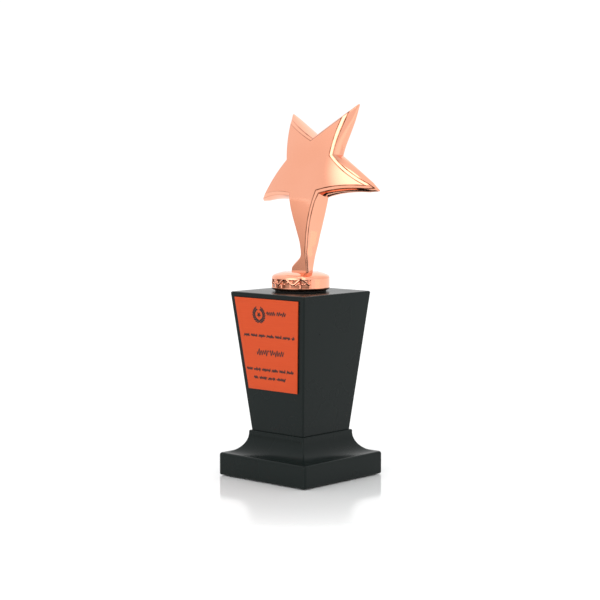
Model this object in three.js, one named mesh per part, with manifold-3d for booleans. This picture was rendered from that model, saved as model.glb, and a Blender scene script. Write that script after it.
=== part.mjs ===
// A ten-inch award: a copper-plated star on one leg, standing on a round disc that is bolted
// through a tapered lacquered column and its coved plinth.
// Millimetres, +Z up. The origin is the centre of the underside; the name plate faces -Y.
import * as THREE from "three";
import { mergeVertices } from "three/addons/utils/BufferGeometryUtils.js";
import Module from "manifold-3d";

const wasm = await Module();
wasm.setup();

// Heights, from the table up
const PAD_THICKNESS = 0.6;
const SLAB_HEIGHT = 15.6;
const PLINTH_HEIGHT = 31.2;
const COLUMN_HEIGHT = 96.4;
const WASHER_THICKNESS = 1.2;
const DISC_HEIGHT = 12.3;
const PLINTH_Z = PAD_THICKNESS;
const COLUMN_Z = PLINTH_Z + PLINTH_HEIGHT;
const WASHER_Z = COLUMN_Z + COLUMN_HEIGHT;
const DISC_Z = WASHER_Z + WASHER_THICKNESS;
const SEAT_Z = DISC_Z + DISC_HEIGHT;

// Half widths of the square base
const SLAB_HALF = 40.3;
const SLAB_EDGE = 1.7;
const LIP_HALF = 25.6;
const LIP_HEIGHT = 1.1;
const PAD_HALF = 37;
const COLUMN_BOTTOM_HALF = 24.1;
const COLUMN_TOP_HALF = 34.3;
const COLUMN_ARRIS = 1.1;
const CORNER_STEPS = 4;

// Rod, nut and dowels
const ROD_RADIUS = 2.95;
const ROD_HOLE_RADIUS = 3.3;
const ROD_START_Z = 1.2;
const ROD_END_Z = DISC_Z + 6;
const DISC_THREAD_DEPTH = 6.4;
const COUNTERBORE_RADIUS = 11;
const COUNTERBORE_DEPTH = 9;
const NUT_ACROSS_FLATS = 10;
const NUT_HEIGHT = 5;
const FLAT_WASHER = { radius: 8, thickness: 1.2 };
const SPRING_WASHER = { radius: 5.6, thickness: 1.6, split: 1.2 };
const DOWEL = { radius: 2.9, length: 22, offset: 13, clearance: 0.3 };
const ROUND_STEPS = 36;

// Disc under the star
const DISC_RADIUS = 20;
const SEAT_RADIUS = 12.5;
const DISC_WASHER_RADIUS = 17.6;
const TENON = { x: 2.6, y: 2, radius: 2.4, depth: 3.2, clearance: 0.3 };

// Name plate, a trapezium that follows the taper of the column's front
const PLATE = { bottomZ: 61.6, topZ: 124.8, bottomHalf: 22.5, topHalf: 29.5, thickness: 0.8 };
const ADHESIVE = { inset: 3, thickness: 0.2, gap: 0.1 };

// The star, in its own upright frame: x to the right, y backwards, z up, from the star's centre
const STAR_CENTRE = new THREE.Vector3(3.75, 0.6, 215 + PAD_THICKNESS);
const STAR_LEAN = THREE.MathUtils.degToRad(12.3);
const STAR_ROLL = THREE.MathUtils.degToRad(4.8);
const UPPER_TIP = [23.4, 31.8];
const TOP_NOTCH = [1.9, 16.3];
const SIDE_NOTCH = [19.3, 4];
const SIDE_TIP = [45.6, -16];
const LEG_ROOT_LEFT = [-15.6, -18.4];
const LEG_ROOT_RIGHT = [9.5, -18.6];
const EDGE_HOLLOW = 0.035; // how far an arm's edge bows in, as a share of its length
const SIDE_ARM_HOLLOW = 0.055; // the same on the upper edge of a side arm
const LONGEST_MITRE = 2.9; // blunts the outline at the tips
const ANKLE = { left: -6, right: -2.4, z: -61 };
const LEG_LEFT = [
  LEG_ROOT_LEFT, [-13.9, -27], [-12, -35.5], [-9.4, -44], [-6.9, -52],
  [ANKLE.left, ANKLE.z], [-8.3, -65.2], [-15.8, -69], [-17.2, -76],
];
const LEG_RIGHT = [
  LEG_ROOT_RIGHT, [6.1, -27], [2.8, -35.5], [0.5, -44], [-0.8, -52],
  [ANKLE.right, ANKLE.z], [-3.4, -65.2], [-1.4, -69.4], [0.8, -76],
];
const DOME = 0.0045; // the front falls back by this times the square of the distance from the centre
const DOME_END = 24.2; // below this the front runs straight down the leg
const BEVEL = { width: 2.6, ankleWidth: 1.7, drop: 0.9 };
const WALL_DRAFT = 1.1;
const RIM_ROUND = 0.8;
const LEG_THICKNESS = [[19, 9.1], [30, 11.2], [40, 11.4], [50, 9.6], [60, 7.9], [66, 7.3], [80, 7.2]];
const CENTRE_THICKNESS = 10;
const UPWARD_THICKENING = 0.05; // per millimetre above the centre
const SIDEWAYS_THINNING = 0.002; // times the square of the distance to either side
const SKIN_THICKNESS = 2.6;
const HOLLOW_LEG_SHARE = 0.3;
const COVER = { overlap: 0.9, thickness: 1.2, sunk: 0.3, gap: 0.3 };
const ARM_STEPS = 6;
const LEG_STEPS = 16;
const END_STEPS = 3;
const CAP_STEPS = 4;

const COPPER = { color: 0xf5b195, roughness: 0.12, metalness: 1 };
const LACQUER = { color: 0x202a2a, roughness: 0.3, metalness: 0 };
const PLATE_ORANGE = { color: 0xd8592f, roughness: 0.4, metalness: 0.5 };
const STEEL = { color: 0xb8babb, roughness: 0.35, metalness: 1 };
const BLACK_FIBRE = { color: 0x17130f, roughness: 0.8, metalness: 0 };
const BEECH = { color: 0xd3ad78, roughness: 0.7, metalness: 0 };
const TAPE = { color: 0xe9e6dd, roughness: 0.8, metalness: 0 };

// ---- solids ----

function toSolid(geometry) {
  const bare = geometry.clone();
  bare.deleteAttribute("normal");
  bare.deleteAttribute("uv");
  const merged = mergeVertices(bare, 1e-4);
  return new wasm.Manifold(new wasm.Mesh({
    numProp: 3,
    vertProperties: merged.attributes.position.array,
    triVerts: new Uint32Array(merged.index.array),
  }));
}

function toMesh(name, solid, finish) {
  const { numProp, vertProperties, triVerts } = solid.getMesh();
  const corners = new THREE.InterleavedBuffer(vertProperties, numProp);
  const geometry = new THREE.BufferGeometry()
    .setAttribute("position", new THREE.InterleavedBufferAttribute(corners, 3, 0))
    .setIndex(new THREE.BufferAttribute(triVerts, 1))
    .toNonIndexed();
  geometry.computeVertexNormals();
  const mesh = new THREE.Mesh(geometry, new THREE.MeshStandardMaterial(finish));
  mesh.name = name;
  return mesh;
}

// Joins rings of equally many points. The first and last ring have to be folded shut.
function skin(rings) {
  const positions = [];
  const triangle = (a, b, c) => {
    if (a.equals(b) || b.equals(c) || c.equals(a)) return;
    positions.push(...a, ...b, ...c);
  };
  for (let i = 0; i + 1 < rings.length; i++) {
    const [low, high] = [rings[i], rings[i + 1]];
    low.forEach((point, j) => {
      const next = (j + 1) % low.length;
      triangle(point, low[next], high[next]);
      triangle(point, high[next], high[j]);
    });
  }
  const geometry = new THREE.BufferGeometry();
  return geometry.setAttribute("position", new THREE.Float32BufferAttribute(positions, 3));
}

function squareRing(half, corner, z) {
  const ring = [];
  for (let quarter = 0; quarter < 4; quarter++) {
    const start = quarter * Math.PI / 2;
    const middle = new THREE.Vector2(1, 1).multiplyScalar(half - corner)
      .rotateAround(new THREE.Vector2(), start);
    for (let i = 0; i <= CORNER_STEPS; i++) {
      const angle = start + i / CORNER_STEPS * Math.PI / 2;
      ring.push(new THREE.Vector3(
        middle.x + corner * Math.cos(angle), middle.y + corner * Math.sin(angle), z));
    }
  }
  return ring;
}

// A square solid from its profile: half width, corner radius and height at each level, bottom first.
function squareSolid(profile) {
  const rings = profile.map(([half, corner, z]) => squareRing(half, corner, z));
  const shut = (ring) => ring.map((point) => new THREE.Vector3(0, 0, point.z));
  return toSolid(skin([shut(rings[0]), ...rings, shut(rings.at(-1))]));
}

function roundSolid(radius, bottom, top, x = 0, y = 0, steps = ROUND_STEPS) {
  const geometry = new THREE.CylinderGeometry(radius, radius, top - bottom, steps);
  geometry.rotateX(Math.PI / 2).translate(x, y, (top + bottom) / 2);
  return toSolid(geometry);
}

function turnedSolid(profile) {
  const geometry = new THREE.LatheGeometry(profile.map(([r, z]) => new THREE.Vector2(r, z)), 64);
  return toSolid(geometry.rotateX(Math.PI / 2));
}

const ringSolid = (outer, inner, bottom, top) =>
  roundSolid(outer, bottom, top).subtract(roundSolid(inner, bottom - 1, top + 1));

// ---- base ----

function dowelHoles() {
  const { radius, length, offset, clearance } = DOWEL;
  const half = length / 2 + clearance;
  const hole = (side) =>
    roundSolid(radius + clearance, COLUMN_Z - half, COLUMN_Z + half, side * offset, side * offset);
  return hole(-1).add(hole(1));
}

// Slab with eased edges, then a hollow quarter-ellipse cove up to a small square lip.
function plinth() {
  const slabTop = PLINTH_Z + SLAB_HEIGHT;
  const coveTop = COLUMN_Z - LIP_HEIGHT;
  const coveStart = SLAB_HALF - 0.5 * SLAB_EDGE;
  const profile = [
    [SLAB_HALF - 0.6, 0.9, PLINTH_Z],
    [SLAB_HALF, 1.5, PLINTH_Z + 0.6],
    [SLAB_HALF, 1.5, slabTop - SLAB_EDGE],
    [SLAB_HALF - 0.3 * SLAB_EDGE, 1.3, slabTop - 0.3 * SLAB_EDGE],
  ];
  const steps = 9;
  for (let i = 0; i <= steps; i++) {
    const angle = i / steps * Math.PI / 2;
    profile.push([
      LIP_HALF + (coveStart - LIP_HALF) * (1 - Math.sin(angle)),
      0.9,
      coveTop - (coveTop - slabTop) * Math.cos(angle),
    ]);
  }
  profile.push([LIP_HALF, 0.9, COLUMN_Z]);
  return squareSolid(profile)
    .subtract(roundSolid(ROD_HOLE_RADIUS, PLINTH_Z, COLUMN_Z + 1))
    .subtract(roundSolid(COUNTERBORE_RADIUS, PLINTH_Z - 1, PLINTH_Z + COUNTERBORE_DEPTH))
    .subtract(dowelHoles());
}

function column() {
  const ease = 0.8;
  return squareSolid([
    [COLUMN_BOTTOM_HALF, COLUMN_ARRIS, COLUMN_Z],
    [COLUMN_TOP_HALF, COLUMN_ARRIS, WASHER_Z - ease],
    [COLUMN_TOP_HALF - 0.3 * ease, COLUMN_ARRIS, WASHER_Z - 0.3 * ease],
    [COLUMN_TOP_HALF - ease, COLUMN_ARRIS, WASHER_Z],
  ])
    .subtract(roundSolid(ROD_HOLE_RADIUS, COLUMN_Z - 1, WASHER_Z + 1))
    .subtract(dowelHoles());
}

const basePad = () => squareSolid([[PAD_HALF, 2, 0], [PAD_HALF, 2, PAD_THICKNESS]]);

function dowel(side) {
  const { radius, length, offset } = DOWEL;
  return roundSolid(
    radius, COLUMN_Z - length / 2, COLUMN_Z + length / 2, side * offset, side * offset, 16);
}

// ---- fixings ----

const counterboreTop = PLINTH_Z + COUNTERBORE_DEPTH;
const springWasherZ = counterboreTop - FLAT_WASHER.thickness - SPRING_WASHER.thickness;

const flatWasher = () =>
  ringSolid(FLAT_WASHER.radius, ROD_HOLE_RADIUS, counterboreTop - FLAT_WASHER.thickness, counterboreTop);

function springWasher() {
  const { radius, thickness, split } = SPRING_WASHER;
  const cut = new THREE.BoxGeometry(radius * 2, split, thickness * 3);
  cut.rotateX(0.35).translate(radius, 0, springWasherZ + thickness / 2);
  return ringSolid(radius, ROD_HOLE_RADIUS, springWasherZ, springWasherZ + thickness)
    .subtract(toSolid(cut));
}

function hexNut() {
  const corner = NUT_ACROSS_FLATS / Math.sqrt(3);
  return roundSolid(corner, springWasherZ - NUT_HEIGHT, springWasherZ, 0, 0, 6)
    .subtract(roundSolid(ROD_HOLE_RADIUS, 0, DISC_Z));
}

// ---- disc ----

function figureDisc() {
  const top = SEAT_Z;
  const rim = DISC_RADIUS;
  return turnedSolid([
    [0, DISC_Z], [rim - 2.2, DISC_Z], [rim - 0.7, DISC_Z + 0.9], [rim, DISC_Z + 2.4],
    [rim, top - 4.6], [rim - 0.5, top - 3.1], [rim - 1.9, top - 1.9], [rim - 4.4, top - 0.9],
    [SEAT_RADIUS, top], [0, top],
  ])
    .subtract(roundSolid(ROD_HOLE_RADIUS, DISC_Z - 1, DISC_Z + DISC_THREAD_DEPTH))
    .subtract(tenon(TENON.clearance));
}

function tenon(clearance) {
  const { x, y, radius, depth } = TENON;
  return roundSolid(radius + clearance, SEAT_Z - depth - clearance, SEAT_Z + 1, x, y, 20);
}

// ---- name plate ----

// A flat trapezium on the leaning front of the column, between two depths out from the wood.
function frontPanel(inset, inner, outer) {
  const slope = (COLUMN_TOP_HALF - COLUMN_BOTTOM_HALF) / COLUMN_HEIGHT;
  const { bottomZ, topZ, bottomHalf, topHalf } = PLATE;
  const corner = (side, half, z, out) => new THREE.Vector3(
    side * (half - inset), -(COLUMN_BOTTOM_HALF + slope * (z - COLUMN_Z)) - out, z);
  const ring = (out) => [
    corner(-1, bottomHalf, bottomZ + inset, out), corner(1, bottomHalf, bottomZ + inset, out),
    corner(1, topHalf, topZ - inset, out), corner(-1, topHalf, topZ - inset, out),
  ];
  const shut = (points) => {
    const middle = points.reduce((sum, point) => sum.add(point), new THREE.Vector3());
    return points.map(() => middle.clone().divideScalar(points.length));
  };
  const [back, front] = [ring(inner), ring(outer)];
  return toSolid(skin([shut(back), back, front, shut(front)]));
}

// ---- star ----

// Points along an arm's edge from its start up to, but not including, its end.
function bowedEdge(start, end, hollow) {
  const [from, to] = [new THREE.Vector2(...start), new THREE.Vector2(...end)];
  const along = to.clone().sub(from);
  const inward = new THREE.Vector2(-along.y, along.x).multiplyScalar(2 * hollow);
  const middle = from.clone().add(to).multiplyScalar(0.5).add(inward);
  return new THREE.QuadraticBezierCurve(from, middle, to).getPoints(ARM_STEPS).slice(0, -1);
}

const mirrored = ([x, z]) => [-x, z];

// The leg's two edges; the back of the foot has no toes.
function legEdges(toes) {
  const edge = (points, limit) => new THREE.SplineCurve(points.map(([x, z]) =>
    new THREE.Vector2(toes || z > ANKLE.z ? x : limit(x), z)));
  return {
    left: edge(LEG_LEFT, (x) => Math.max(x, ANKLE.left)),
    right: edge(LEG_RIGHT, (x) => Math.min(x, ANKLE.right)),
  };
}

// The star's outline, counter-clockwise from the front, and for each point of it the point
// that a cap folds shut to: the centre for the arms, the middle line for the leg.
function starOutline(legShare, toes) {
  const corners = [
    LEG_ROOT_RIGHT, SIDE_TIP, SIDE_NOTCH, UPPER_TIP, TOP_NOTCH,
    mirrored(UPPER_TIP), mirrored(SIDE_NOTCH), mirrored(SIDE_TIP), LEG_ROOT_LEFT,
  ];
  const outline = corners.slice(0, -1).flatMap((corner, i) => {
    const overSideArm = i === 1 || i === 6;
    return bowedEdge(corner, corners[i + 1], overSideArm ? SIDE_ARM_HOLLOW : EDGE_HOLLOW);
  });
  const spine = outline.map(() => new THREE.Vector2());

  const { left, right } = legEdges(toes);
  const stations = Array.from({ length: LEG_STEPS + 1 }, (_, i) => {
    const share = i / LEG_STEPS * legShare;
    const [l, r] = [left.getPoint(share), right.getPoint(share)];
    return { l, r, middle: i ? l.clone().add(r).multiplyScalar(0.5) : new THREE.Vector2() };
  });
  const last = stations.at(-1);
  last.middle.lerp(stations.at(-2).middle, 0.6);
  for (const { l, middle } of stations) {
    outline.push(l);
    spine.push(middle);
  }
  for (let i = 1; i < END_STEPS; i++) {
    outline.push(last.l.clone().lerp(last.r, i / END_STEPS));
    spine.push(last.middle);
  }
  for (const { r, middle } of stations.slice(1).reverse()) {
    outline.push(r);
    spine.push(middle);
  }
  return { outline, spine };
}

// Moves each point out square to the outline, with mitred corners.
function offsetOutline(outline, distance) {
  const count = outline.length;
  return outline.map((point, i) => {
    const before = point.clone().sub(outline[(i + count - 1) % count]).normalize();
    const after = outline[(i + 1) % count].clone().sub(point).normalize();
    const out = new THREE.Vector2(before.y + after.y, -before.x - after.x).normalize();
    const mitre = 1 / out.dot(new THREE.Vector2(before.y, -before.x));
    return point.clone().addScaledVector(out, distance(point) * Math.min(mitre, LONGEST_MITRE));
  });
}

function frontDepth({ x, y: z }) {
  const fall = z > -DOME_END ? z * z : DOME_END * (2 * -z - DOME_END);
  return DOME * (x * x + fall);
}

const legThickness = new THREE.SplineCurve(LEG_THICKNESS.map((pair) => new THREE.Vector2(...pair)));

function thicknessAt({ x, y: z }) {
  const [start, end] = [LEG_THICKNESS[0][0], LEG_THICKNESS.at(-1)[0]];
  const thinning = SIDEWAYS_THINNING * x * x;
  if (z > -start) return CENTRE_THICKNESS + UPWARD_THICKENING * z - thinning;
  const share = Math.min((-z - start) / (end - start), 1);
  return legThickness.getPoint(share).y - thinning;
}

const backDepth = (point) => frontDepth(point) + thicknessAt(point);

function bevelWidth({ y: z }) {
  const down = THREE.MathUtils.clamp((z - ANKLE.z) / (-25 - ANKLE.z), 0, 1);
  return THREE.MathUtils.lerp(BEVEL.ankleWidth, BEVEL.width, down);
}

// A star-shaped solid from its levels, back first. Each level has an outline and a depth.
function starSolid(levels, spine) {
  const ring = (points, depth) => points.map((p) => new THREE.Vector3(p.x, depth(p), p.y));
  const cap = ({ points, depth }) => Array.from({ length: CAP_STEPS }, (_, i) =>
    ring(points.map((p, j) => p.clone().lerp(spine[j], (i + 1) / CAP_STEPS)), depth));
  const rings = [
    ...cap(levels[0]).reverse(),
    ...levels.map(({ points, depth }) => ring(points, depth)),
    ...cap(levels.at(-1)),
  ];
  return toSolid(skin(rings).applyMatrix4(starPlace()));
}

function starPlace() {
  return new THREE.Matrix4().makeRotationX(-STAR_LEAN)
    .multiply(new THREE.Matrix4().makeRotationY(-STAR_ROLL))
    .setPosition(STAR_CENTRE);
}

function solidStar() {
  const front = starOutline(1, true);
  const back = starOutline(1, false);
  const bevelFoot = offsetOutline(front.outline, bevelWidth);
  const widest = offsetOutline(back.outline, (p) => bevelWidth(p) + WALL_DRAFT);
  const rim = offsetOutline(back.outline, (p) => bevelWidth(p) + WALL_DRAFT - RIM_ROUND);
  const middle = bevelFoot.map((p, i) => p.clone().lerp(widest[i], 0.65));
  return starSolid([
    { points: rim, depth: backDepth },
    { points: widest, depth: (p) => backDepth(p) - RIM_ROUND },
    { points: middle, depth: (p) => frontDepth(p) + 0.45 * thicknessAt(p) },
    { points: bevelFoot, depth: (p) => frontDepth(p) + BEVEL.drop },
    { points: front.outline, depth: frontDepth },
  ], front.spine);
}

// A slice of the star's inside, between two depths.
function starSlice(grow, back, front) {
  const { outline, spine } = starOutline(HOLLOW_LEG_SHARE, false);
  const points = offsetOutline(outline, () => grow);
  return starSolid([{ points, depth: back }, { points, depth: front }], spine);
}

function starFigure() {
  const { overlap, thickness, sunk, gap } = COVER;
  const beyond = (p) => backDepth(p) + 4;
  const hollow = starSlice(-gap, beyond, (p) => frontDepth(p) + SKIN_THICKNESS);
  const recess = starSlice(overlap, beyond, (p) => backDepth(p) - thickness - sunk - gap);
  const below = new THREE.BoxGeometry(120, 120, 60).translate(0, 0, SEAT_Z - 30);
  return solidStar().subtract(hollow).subtract(recess).subtract(toSolid(below)).add(tenon(0));
}

function starBackCover() {
  const { overlap, thickness, sunk, gap } = COVER;
  return starSlice(
    overlap - gap, (p) => backDepth(p) - sunk, (p) => backDepth(p) - sunk - thickness);
}

// ---- assembly ----

const tape = ADHESIVE.thickness + 2 * ADHESIVE.gap;
const pieces = [
  ["base_pad", basePad(), BLACK_FIBRE],
  ["plinth", plinth(), LACQUER],
  ["column", column(), LACQUER],
  ["column_dowel_left", dowel(-1), BEECH],
  ["column_dowel_right", dowel(1), BEECH],
  ["plate_adhesive", frontPanel(ADHESIVE.inset, ADHESIVE.gap, tape - ADHESIVE.gap), TAPE],
  ["name_plate", frontPanel(0, tape, tape + PLATE.thickness), PLATE_ORANGE],
  ["hex_nut", hexNut(), STEEL],
  ["spring_washer", springWasher(), STEEL],
  ["flat_washer", flatWasher(), STEEL],
  ["threaded_rod", roundSolid(ROD_RADIUS, ROD_START_Z, ROD_END_Z), STEEL],
  ["disc_washer", ringSolid(DISC_WASHER_RADIUS, ROD_HOLE_RADIUS, WASHER_Z, DISC_Z), BLACK_FIBRE],
  ["figure_disc", figureDisc(), COPPER],
  ["star_figure", starFigure(), COPPER],
  ["star_back_cover", starBackCover(), COPPER],
];

const group = new THREE.Group();
for (const [name, solid, finish] of pieces) group.add(toMesh(name, solid, finish));

export default group;
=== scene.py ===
import math
import random

import bmesh
import bpy
import numpy as np
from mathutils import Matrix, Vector


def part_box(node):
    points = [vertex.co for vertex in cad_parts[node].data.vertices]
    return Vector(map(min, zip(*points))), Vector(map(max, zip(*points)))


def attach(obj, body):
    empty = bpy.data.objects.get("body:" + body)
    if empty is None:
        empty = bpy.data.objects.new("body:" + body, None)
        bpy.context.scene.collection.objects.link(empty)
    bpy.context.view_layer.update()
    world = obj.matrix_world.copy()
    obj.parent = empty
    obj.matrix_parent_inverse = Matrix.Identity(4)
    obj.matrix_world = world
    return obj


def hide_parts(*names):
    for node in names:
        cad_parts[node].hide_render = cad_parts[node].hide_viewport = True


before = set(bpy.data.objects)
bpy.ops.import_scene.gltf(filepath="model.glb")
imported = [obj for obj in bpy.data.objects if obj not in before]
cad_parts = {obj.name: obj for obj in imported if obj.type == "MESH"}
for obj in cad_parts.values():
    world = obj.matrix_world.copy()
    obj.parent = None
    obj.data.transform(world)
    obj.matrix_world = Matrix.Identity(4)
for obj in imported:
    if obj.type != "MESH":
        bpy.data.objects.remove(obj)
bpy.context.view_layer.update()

scene = bpy.context.scene
scene.view_settings.view_transform = "Standard"
mm = 0.001  # shapes are worked out in millimetres and become metres as they turn into meshes


def cadBox(node):
    low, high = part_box(node)
    return np.array(low) / mm, np.array(high) / mm


# Heights and half widths of the CAD pieces that the others stand on
plinthLow, plinthHigh = cadBox("plinth")
columnLow, columnHigh = cadBox("column")
discLow, discHigh = cadBox("figure_disc")
washerLow, washerHigh = cadBox("disc_washer")
plateLow, plateHigh = cadBox("name_plate")
seatZ = discHigh[2]


def linear(code):
    # sRGB hex to the linear colour that sockets take
    shares = [int(code[i:i + 2], 16) / 255 for i in (1, 3, 5)]
    return [s / 12.92 if s <= 0.04045 else ((s + 0.055) / 1.055) ** 2.4 for s in shares] + [1.0]


def addNode(tree, kind, inputs=None, **settings):
    node = tree.nodes.new(kind)
    for name, value in settings.items():
        setattr(node, name, value)
    for key, value in (inputs or {}).items():
        if isinstance(value, bpy.types.Node):
            value = value.outputs[0]
        if isinstance(value, bpy.types.NodeSocket):
            tree.links.new(value, node.inputs[key])
        else:
            node.inputs[key].default_value = value
    return node


# Finishes


def newMaterial(name):
    material = bpy.data.materials.new(name)
    material.use_nodes = True
    material.node_tree.nodes.clear()
    return material, material.node_tree


copperFinish = {
    "pale": "#fbb396",
    "deep": "#f6aa8a",
    "patinaAndShade": "#5e3320",
    # the breakup noise lightens the brown patina and the painted shade in places, down to the least share below
    "breakupSize": 7,  # this size and those below in mm
    "breakupLeast": 0.55,
    "roughness": (0.05, 0.1),
    "cloudSize": 26,
    "waveSize": 15,
    "waveDepth": 0.012,
}


def makeCopperPlating():
    # Rose copper plated on a polished zinc casting: a clear mirror with the faint swell left by the
    # buffing wheel. Brown is mixed in where the mesh's attribute asks for it: patina in the disc's sunk
    # panel, and painted shade and painted dark reflections along the star's edges, in its inner corners
    # and under the disc's lower edge
    material, tree = newMaterial("roseCopperPlating")
    place = addNode(tree, "ShaderNodeTexCoord").outputs["Object"]
    cloud = addNode(tree, "ShaderNodeTexNoise", {
        "Vector": place, "Scale": 1 / (copperFinish["cloudSize"] * mm), "Detail": 2.0})
    colour = addNode(tree, "ShaderNodeMix", {
        0: cloud, 6: linear(copperFinish["pale"]), 7: linear(copperFinish["deep"])}, data_type="RGBA")
    low, high = copperFinish["roughness"]
    haze = addNode(tree, "ShaderNodeMapRange", {
        0: cloud, "From Min": 0.35, "From Max": 0.7, "To Min": low, "To Max": high})
    # brown from the mesh attribute: patina in the sunk panel, painted shade and painted dark reflections elsewhere
    shadeAndPatinaInput = addNode(tree, "ShaderNodeAttribute", attribute_name="patinaAndShade")
    breakup = addNode(tree, "ShaderNodeTexNoise", {
        "Vector": place, "Scale": 1 / (copperFinish["breakupSize"] * mm), "Detail": 2.0})
    left = addNode(tree, "ShaderNodeMapRange", {
        0: breakup, "From Min": 0.35, "From Max": 0.65, "To Min": copperFinish["breakupLeast"], "To Max": 1.0})
    paintedShadeAndPatina = addNode(tree, "ShaderNodeMath", {0: shadeAndPatinaInput.outputs["Fac"], 1: left}, operation="MULTIPLY")
    withShadeAndPatina = addNode(tree, "ShaderNodeMix", {
        0: paintedShadeAndPatina, 6: colour.outputs[2], 7: linear(copperFinish["patinaAndShade"])}, data_type="RGBA")
    wave = addNode(tree, "ShaderNodeTexNoise", {
        "Vector": place, "Scale": 1 / (copperFinish["waveSize"] * mm), "Detail": 1.0})
    bump = addNode(tree, "ShaderNodeBump", {
        "Height": wave, "Strength": 1.0, "Distance": copperFinish["waveDepth"] * mm})
    shader = addNode(tree, "ShaderNodeBsdfPrincipled", {
        "Base Color": withShadeAndPatina.outputs[2], "Roughness": haze, "Metallic": 1.0, "Normal": bump})
    addNode(tree, "ShaderNodeOutputMaterial", {"Surface": shader})
    return material


lacquerFinish = {
    "light": "#141c1b",
    "dark": "#0f1615",
    "roughness": (0.2, 0.36),
    "specular": 0.14,
    "peelSize": 1.6,  # mm, as are the next two
    "peelDepth": 0.002,
    "patchSize": 35,
}


def makeLacquer():
    # Sprayed black lacquer on sanded wood: a soft shine with a fine orange peel
    material, tree = newMaterial("blackLacquer")
    place = addNode(tree, "ShaderNodeTexCoord").outputs["Object"]
    patch = addNode(tree, "ShaderNodeTexNoise", {
        "Vector": place, "Scale": 1 / (lacquerFinish["patchSize"] * mm), "Detail": 3.0})
    colour = addNode(tree, "ShaderNodeMix", {
        0: patch, 6: linear(lacquerFinish["dark"]), 7: linear(lacquerFinish["light"])}, data_type="RGBA")
    low, high = lacquerFinish["roughness"]
    rough = addNode(tree, "ShaderNodeMapRange", {0: patch, "To Min": low, "To Max": high})
    peel = addNode(tree, "ShaderNodeTexNoise", {
        "Vector": place, "Scale": 1 / (lacquerFinish["peelSize"] * mm), "Detail": 2.0})
    bump = addNode(tree, "ShaderNodeBump", {
        "Height": peel, "Strength": 1.0, "Distance": lacquerFinish["peelDepth"] * mm})
    shader = addNode(tree, "ShaderNodeBsdfPrincipled", {
        "Base Color": colour.outputs[2], "Roughness": rough,
        "Specular IOR Level": lacquerFinish["specular"],
        "IOR": 1.5, "Normal": bump})
    addNode(tree, "ShaderNodeOutputMaterial", {"Surface": shader})
    return material


anodisedFinish = {
    "light": "#cf5127",
    "dark": "#c04420",
    "grain": 0.25,  # mm across the grain, and this many times as long
    "grainStretch": 60,
    "grainDepth": 0.006,
    "roughness": (0.4, 0.55),
    "metallic": 0.15,
    "specular": 0.15,
}


def makeAnodised():
    # Orange anodised aluminium sheet: satin, with a fine brushed grain that runs across it
    material, tree = newMaterial("orangeAnodisedAluminium")
    place = addNode(tree, "ShaderNodeTexCoord").outputs["Object"]
    grainScale = 1 / (anodisedFinish["grain"] * mm)
    stretched = addNode(tree, "ShaderNodeMapping", {
        "Vector": place, "Scale": (grainScale / anodisedFinish["grainStretch"], grainScale, grainScale)})
    grain = addNode(tree, "ShaderNodeTexNoise", {"Vector": stretched, "Scale": 1.0, "Detail": 3.0})
    colour = addNode(tree, "ShaderNodeMix", {
        0: grain, 6: linear(anodisedFinish["dark"]), 7: linear(anodisedFinish["light"])},
        data_type="RGBA")
    low, high = anodisedFinish["roughness"]
    rough = addNode(tree, "ShaderNodeMapRange", {0: grain, "To Min": low, "To Max": high})
    bump = addNode(tree, "ShaderNodeBump", {
        "Height": grain, "Strength": 1.0, "Distance": anodisedFinish["grainDepth"] * mm})
    shader = addNode(tree, "ShaderNodeBsdfPrincipled", {
        "Base Color": colour.outputs[2], "Roughness": rough,
        "Metallic": anodisedFinish["metallic"], "Specular IOR Level": anodisedFinish["specular"],
        "Normal": bump})
    addNode(tree, "ShaderNodeOutputMaterial", {"Surface": shader})
    return material


plainFinishes = {
    "printInk": {"colours": ("#070606", "#100d0c"), "size": 0.8, "rough": (0.6, 0.8), "metal": 0.0,
        "depth": 0.01},
    "blackFibre": {"colours": ("#0c0a09", "#211d19"), "size": 0.7, "rough": (0.75, 0.95), "metal": 0.0,
                   "depth": 0.06},
    "zincPlatedSteel": {"colours": ("#b4b7ba", "#d3d4d2"), "size": 3.0, "rough": (0.25, 0.42),
        "metal": 1.0,
                        "depth": 0.004},
    "foamTape": {"colours": ("#e2dfd5", "#f0eee8"), "size": 0.9, "rough": (0.7, 0.9), "metal": 0.0,
        "depth": 0.05},
}


def makePlainFinish(name, finish):
    # Screen ink, pressed fibre, zinc plate and tape differ only in colour, speckle and shine
    material, tree = newMaterial(name)
    place = addNode(tree, "ShaderNodeTexCoord").outputs["Object"]
    speckle = addNode(tree, "ShaderNodeTexNoise", {
        "Vector": place, "Scale": 1 / (finish["size"] * mm), "Detail": 4.0})
    first, second = finish["colours"]
    colour = addNode(tree, "ShaderNodeMix", {
        0: speckle, 6: linear(first), 7: linear(second)}, data_type="RGBA")
    low, high = finish["rough"]
    rough = addNode(tree, "ShaderNodeMapRange", {0: speckle, "To Min": low, "To Max": high})
    bump = addNode(tree, "ShaderNodeBump", {
        "Height": speckle, "Strength": 1.0, "Distance": finish["depth"] * mm})
    shader = addNode(tree, "ShaderNodeBsdfPrincipled", {
        "Base Color": colour.outputs[2], "Roughness": rough, "Metallic": finish["metal"],
        "Normal": bump})
    addNode(tree, "ShaderNodeOutputMaterial", {"Surface": shader})
    return material


beechFinish = {"dark": "#b98d5c", "light": "#dcbb8b", "fleck": (1500, 1500, 120), "depth": 0.02,
    "roughness": 0.65}


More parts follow.
